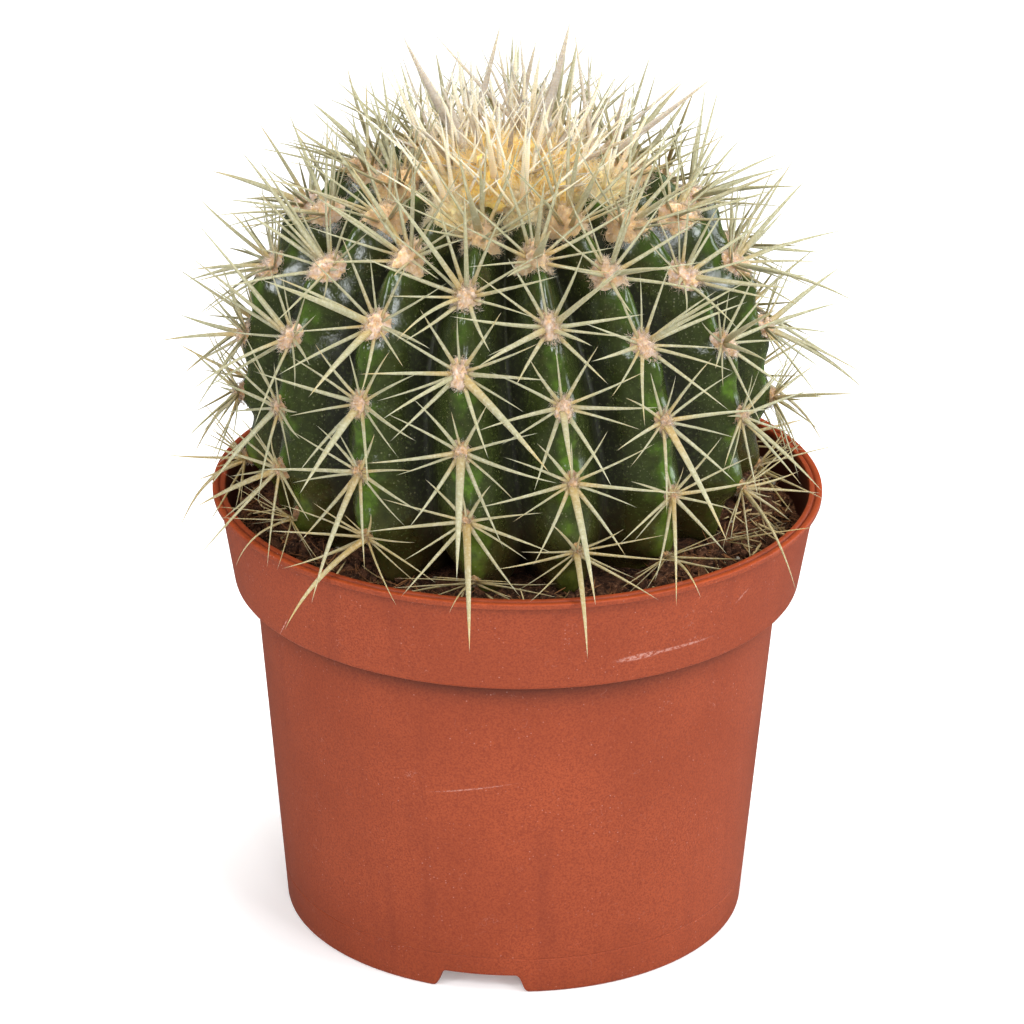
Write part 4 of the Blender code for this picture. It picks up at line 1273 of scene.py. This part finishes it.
def cushion_hairs(count, seed):
    """Longer hairs over the whole cushion, each rooted by area and curling its own way."""
    draw = np.random.default_rng(seed)
    share = np.sqrt(draw.random(count)) * 1.02
    turn = draw.random(count) * 2 * pi
    root = around(CROWN_RADIUS * share, turn, crown_top(share) - 0.2)
    heading = unit(around(0.8 * share, turn, 1.0) + 0.8 * random_directions(draw, count))
    reach = draw.uniform(1.2, 3.2, count)[:, None]
    tip = root + unit(heading + 0.9 * random_directions(draw, count)) * reach
    taper = 0.06 * np.array([1.0, 1.0, 0.9, 0.7, 0.0])
    return strands(draw, root, root + heading * reach * 0.6, tip, taper, 3, age=0.0)


crown_wool = wool(
    "crown_wool", (254, 214, 112), (254, 230, 152), (252, 216, 124), (246, 172, 54), (254, 214, 106), 0.6)
young_wool = wool(
    "young_wool", (253, 232, 176), (254, 239, 202), (250, 220, 170), (246, 208, 132), (253, 232, 168), 0.6)
plant_piece("crown_cushion", crown_cushion(), crown_wool, stands_for=["crown"])
young_sizes = np.full(len(young_pads["age"]), 5.2)
hairs_each = np.full(len(young_sizes), 1900)
plant_piece("crown_tufts", felt_domes(young_pads, 0.92 * young_sizes, 42), young_wool)
wool_pieces("tuft_wool", young_pads, young_sizes, hairs_each, 0.95, 0.05, young_wool, 64)
plant_piece("crown_hairs", cushion_hairs(6500, 44), crown_wool)

# %% [markdown]
# The tallest spines make the plant's outline, so they too are placed where the photograph shows their
# tips. Between them stands a brush of shorter ones that cross each other at all angles.

# %% The crown's brush of young spines
GOLDEN_ANGLE, BRUSH_FOOT = pi * (3 - 5**0.5), 156.5
# Each row is the root's x and y, the tip's x, y and z in the pot's frame, and the half width.
TALL_SPINES = np.array([
    (-10.5, -4.8, -22.6, -2.2, 181.6, 1.10), (-15.4, -2.0, -23.2, 7.9, 175.2, 0.42),
    (1.5, 4.3, -17.3, 18.3, 175.8, 0.50), (-17.0, 3.8, -11.7, 17.0, 173.0, 0.40),
    (-0.1, 4.3, -7.9, 6.7, 176.4, 0.40), (-9.3, 2.9, -3.8, 10.4, 180.6, 0.75),
    (-1.1, 10.2, -4.8, 22.8, 172.7, 0.50), (0.9, 7.3, -2.8, 9.8, 175.4, 0.42),
    (1.5, 3.2, -0.3, 13.9, 177.0, 0.48), (-1.0, 3.1, 3.0, 4.0, 179.3, 0.75),
    (3.2, -1.5, 9.4, 4.2, 183.1, 1.10), (14.3, -1.2, 10.0, 10.9, 179.6, 0.52),
    (13.8, 3.5, 12.7, 6.4, 177.7, 0.36), (0.3, 16.3, 14.4, 27.6, 172.4, 0.40),
    (4.7, 18.2, 17.7, 24.5, 166.6, 0.36), (13.5, 13.6, 19.5, 21.3, 165.7, 0.36),
    (16.7, 4.8, 20.5, 6.6, 170.7, 0.50), (13.3, -0.0, 32.2, 6.4, 171.3, 0.52),
    (15.3, 0.0, 37.5, 1.9, 173.1, 0.75),
])


def tall_spines():
    """Spines from the crown's cushion to the measured tips, each bowed a little at random."""
    foot = np.concatenate([TALL_SPINES[:, :2], np.full((len(TALL_SPINES), 1), BRUSH_FOOT)], axis=1)
    root, tip = unplanted(foot), unplanted(TALL_SPINES[:, 2:5])
    root[:, 2] = crown_top(np.hypot(root[:, 0], root[:, 1]) / CROWN_RADIUS)
    bend = (root + tip) / 2 + 0.6 * random_directions(np.random.default_rng(47), len(root))
    return root, bend, tip, TALL_SPINES[:, 5], np.tile([1.0, 0, 0], (len(root), 1)), np.zeros(len(root))


def brush(count, lengths, widths, lean_most, seed):
    """Spines at even steps of the golden angle, which lean more the further out they stand."""
    draw = np.random.default_rng(seed)
    index = np.arange(count)
    share = np.sqrt((index + 0.5) / count)
    azimuth = index * GOLDEN_ANGLE
    radius = share * CROWN_SPREAD
    root = around(radius, azimuth, crown_top(radius / CROWN_RADIUS))
    lean = lean_most * share + np.radians(draw.uniform(-9, 9, count))
    swing = azimuth + np.radians(draw.uniform(-25, 25, count))
    direction = around(np.sin(lean), swing, np.cos(lean))
    length = draw.uniform(*lengths, count)
    root, bend, tip = curve_of(root, direction, length, 0.05 * random_directions(draw, count))
    wide = draw.uniform(*widths, count)
    across = np.cross(direction, random_directions(draw, count))
    return root, bend, tip, wide, across, np.zeros(count)


# The crown's spines are painted darker than the young spines round them, as the shade they stand in.
shaded_crown_horn = spine_horn("shaded_crown_horn", (168, 159, 148), (192, 170, 136), (159, 149, 137), 0.8)
fresh_horn = spine_horn("fresh_horn", (229, 216, 194), (224, 192, 134), (218, 203, 172), 0.9)
tall = brush(17, (10.0, 17.0), (0.40, 0.75), radians(66), 12)
short = brush(50, (5.0, 9.5), (0.26, 0.42), radians(88), 13)
together = [np.concatenate(parts) for parts in zip(tall_spines(), tall, short)]
plant_piece("crown_spines", spine_tubes(together, 45), shaded_crown_horn)
outer = [each[np.arange(len(each)) % len(SPINES) < MAIN_COUNT] for each in pad_spines(young_pads)]
plant_piece("crown_outer_spines", spine_tubes(outer, 46), fresh_horn)

# %% [markdown]
# ## The soil
#
# Under and around the plant lies dark peat, loosely filled: a lumpy bed, crumbs of all sizes, a few
# white grains, and many fibres and fallen spines that lie across each other.

# %% The soil's bed
SOIL_AT_WALL, SOIL_AT_PLANT, SOIL_HEAP, SOIL_GAP = 80.3, 83.0, 4.0, 0.4
soil_edge = band_radius(SOIL_AT_WALL, WALL + SOIL_GAP)


def soil_height(radius, place):
    """The bed rises towards the plant by a smooth step, and is heaped on both its sides, by the square of
    sin(azimuth). Rough noise makes its lumps.
    """
    rise = (SOIL_AT_PLANT - SOIL_AT_WALL) * (1 - 0.6 * smooth_step(radius, 46.0, 54.0))
    aside = place[..., 0] ** 2 / (place[..., 0] ** 2 + place[..., 1] ** 2)
    rise = rise + SOIL_HEAP * aside * (1 - smooth_step(radius, 44.0, 53.0))
    flat = place * np.array([1, 1, 0])
    return SOIL_AT_WALL + rise + 0.9 * rough_noise(flat / 6.0, 51, 4) + 0.5 * rough_noise(flat / 1.2, 55, 2)


def soil_bed():
    """Rings from the middle to the wall, then down the inside of the pot and under."""
    radius = np.concatenate([np.linspace(3, 40, 8), np.linspace(41, soil_edge - 0.2, 44)])
    turn = np.linspace(0, 2 * pi, 400, endpoint=False)
    flat = around(radius[:, None], turn[None], 0.0)
    flat[..., 2] = soil_height(radius[:, None], flat)
    inset = WALL + SOIL_GAP
    sides = np.array([
        (soil_edge, SOIL_AT_WALL - 2.5),
        (band_radius(BAND_BOTTOM + WALL + 0.6, inset), BAND_BOTTOM + 1.8),
        (wall_radius(BAND_BOTTOM, inset), BAND_BOTTOM - 0.8),
        (wall_radius(7.0, inset), 7.0),
        (wall_radius(5.6, inset) - 1.0, FLOOR_TOP + SOIL_GAP),
    ])
    under = around(sides[:, :1], turn[None], sides[:, 1:])
    ends = np.array([[[0, 0, SOIL_AT_PLANT], [0, 0, FLOOR_TOP + SOIL_GAP]]])
    return np.concatenate([flat, under])[None], ends, {}


def peat(name, dark, brown, light):
    """Dark earth with brown lumps, and light fine grains on them."""
    new_look(name, Roughness=0.95, Specular_IOR_Level=0.2)
    place = in_mm()
    lumps, fine = noise(place, 0.5, 5.0, 0.65), noise(place, 2.0, 3.0, 0.7)
    colour = mix(between(lumps, 0.35, 0.65), dark, brown)
    colour = mix(between(fine, 0.55, 0.72, 0.0, 0.75), colour, light)
    return finish(Base_Color=colour, Normal=bump(fine, 1.0, 0.5, bump(lumps, 0.8, 0.8)))


peat_look = peat("peat", (52, 33, 23), (112, 74, 52), (178, 132, 98))
new_piece("peat_bed", soil_bed(), peat_look, ["soil"])

# %% Crumbs and grains
def strewn(draw, count, inner, gap, above):
    """Places over the bed, even by area, from an inner radius out to this gap from the bed's edge."""
    radius = np.sqrt(draw.uniform(inner**2, (soil_edge - gap) ** 2, count))
    place = around(radius, draw.uniform(0, 2 * pi, count), 0.0)
    place[:, 2] = soil_height(radius, place) + above
    return place


def crumbs(count, sizes, seed):
    """Small lumps: a ball of 4 rings of 8 points, each point pushed in or out, then turned and laid down."""
    draw = np.random.default_rng(seed)
    lift = np.radians([-58, -20, 20, 58])[:, None]
    turn = np.arange(8)[None] * 2 * pi / 8
    ball = around(np.cos(lift), turn, np.sin(lift))
    size = draw.uniform(*sizes, count)
    uneven = draw.uniform(0.65, 1.25, (count, *ball.shape[:2], 1))
    stretch = draw.uniform(0.6, 1.3, (count, 1, 1, 3))
    basis, _ = np.linalg.qr(draw.normal(size=(count, 3, 3)))
    shape = np.einsum("nij,nrcj->nrci", basis, ball * uneven * stretch)
    poles = np.einsum("nij,nrj->nri", basis, np.array([[0, 0, -1.0], [0, 0, 1.0]]) * stretch[:, 0])
    place = strewn(draw, count, 43.0, 0.8, size * 0.3)
    rings = place[:, None, None] + shape * size[:, None, None, None]
    return rings, place[:, None] + poles * size[:, None, None], {}


grain_look = peat("perlite", (176, 168, 150), (208, 200, 184), (232, 226, 214))
new_piece("peat_crumbs", crumbs(1400, (0.3, 1.1), 52), peat_look)
new_piece("peat_lumps", crumbs(170, (1.1, 2.0), 57), peat_look)
new_piece("white_grains", crumbs(46, (0.25, 0.6), 53), grain_look)

# %% Fibres and fallen spines
def litter(count, lengths, thickness, lift, seed):
    """Thin curved strands that lie on the bed at any angle, with a little of each end off it."""
    draw = np.random.default_rng(seed)
    middle = strewn(draw, count, 44.0, 1.5, 0.3)
    heading = random_directions(draw, count) * np.array([1, 1, lift])
    half = unit(heading) * draw.uniform(*lengths, count)[:, None] / 2
    root, tip = middle - half, middle + half
    for end in (root, tip):
        out = np.hypot(end[:, 0], end[:, 1])
        end[:, :2] *= np.minimum(1, (soil_edge - 1.0) / out)[:, None]
        end[:, 2] = np.maximum(end[:, 2], soil_height(out, end) + 0.1)
    bend = middle + random_directions(draw, count) * 0.22 * np.linalg.norm(half, axis=1, keepdims=True)
    bend[:, 2] = np.maximum(bend[:, 2], middle[:, 2])
    taper = thickness * draw.uniform(0.6, 1.4, count)[:, None] * np.array([0.7, 1, 1, 1, 0.9, 0.7, 0])
    return strands(draw, root, bend, tip, taper, 4)


def straw(name, dark, pale):
    """Dry plant fibre, each strand with its own shade between dark and pale."""
    new_look(name, Roughness=0.8, Specular_IOR_Level=0.25)
    colour = mix(number("tone"), dark, pale)
    flecks = between(noise(in_mm(), 1.4, 3.0), 0.4, 0.7, 0.0, 0.5)
    return finish(Base_Color=mix(flecks, colour, dark))


fibre_look = straw("peat_fibre", (84, 50, 32), (164, 112, 70))
dry_look = straw("dry_horn", (140, 108, 68), (214, 194, 144))
new_piece("peat_fibres", litter(1300, (2.5, 8.0), 0.10, 0.6, 54), fibre_look)
new_piece("fallen_spines", litter(130, (6.0, 13.0), 0.22, 0.45, 56), dry_look)
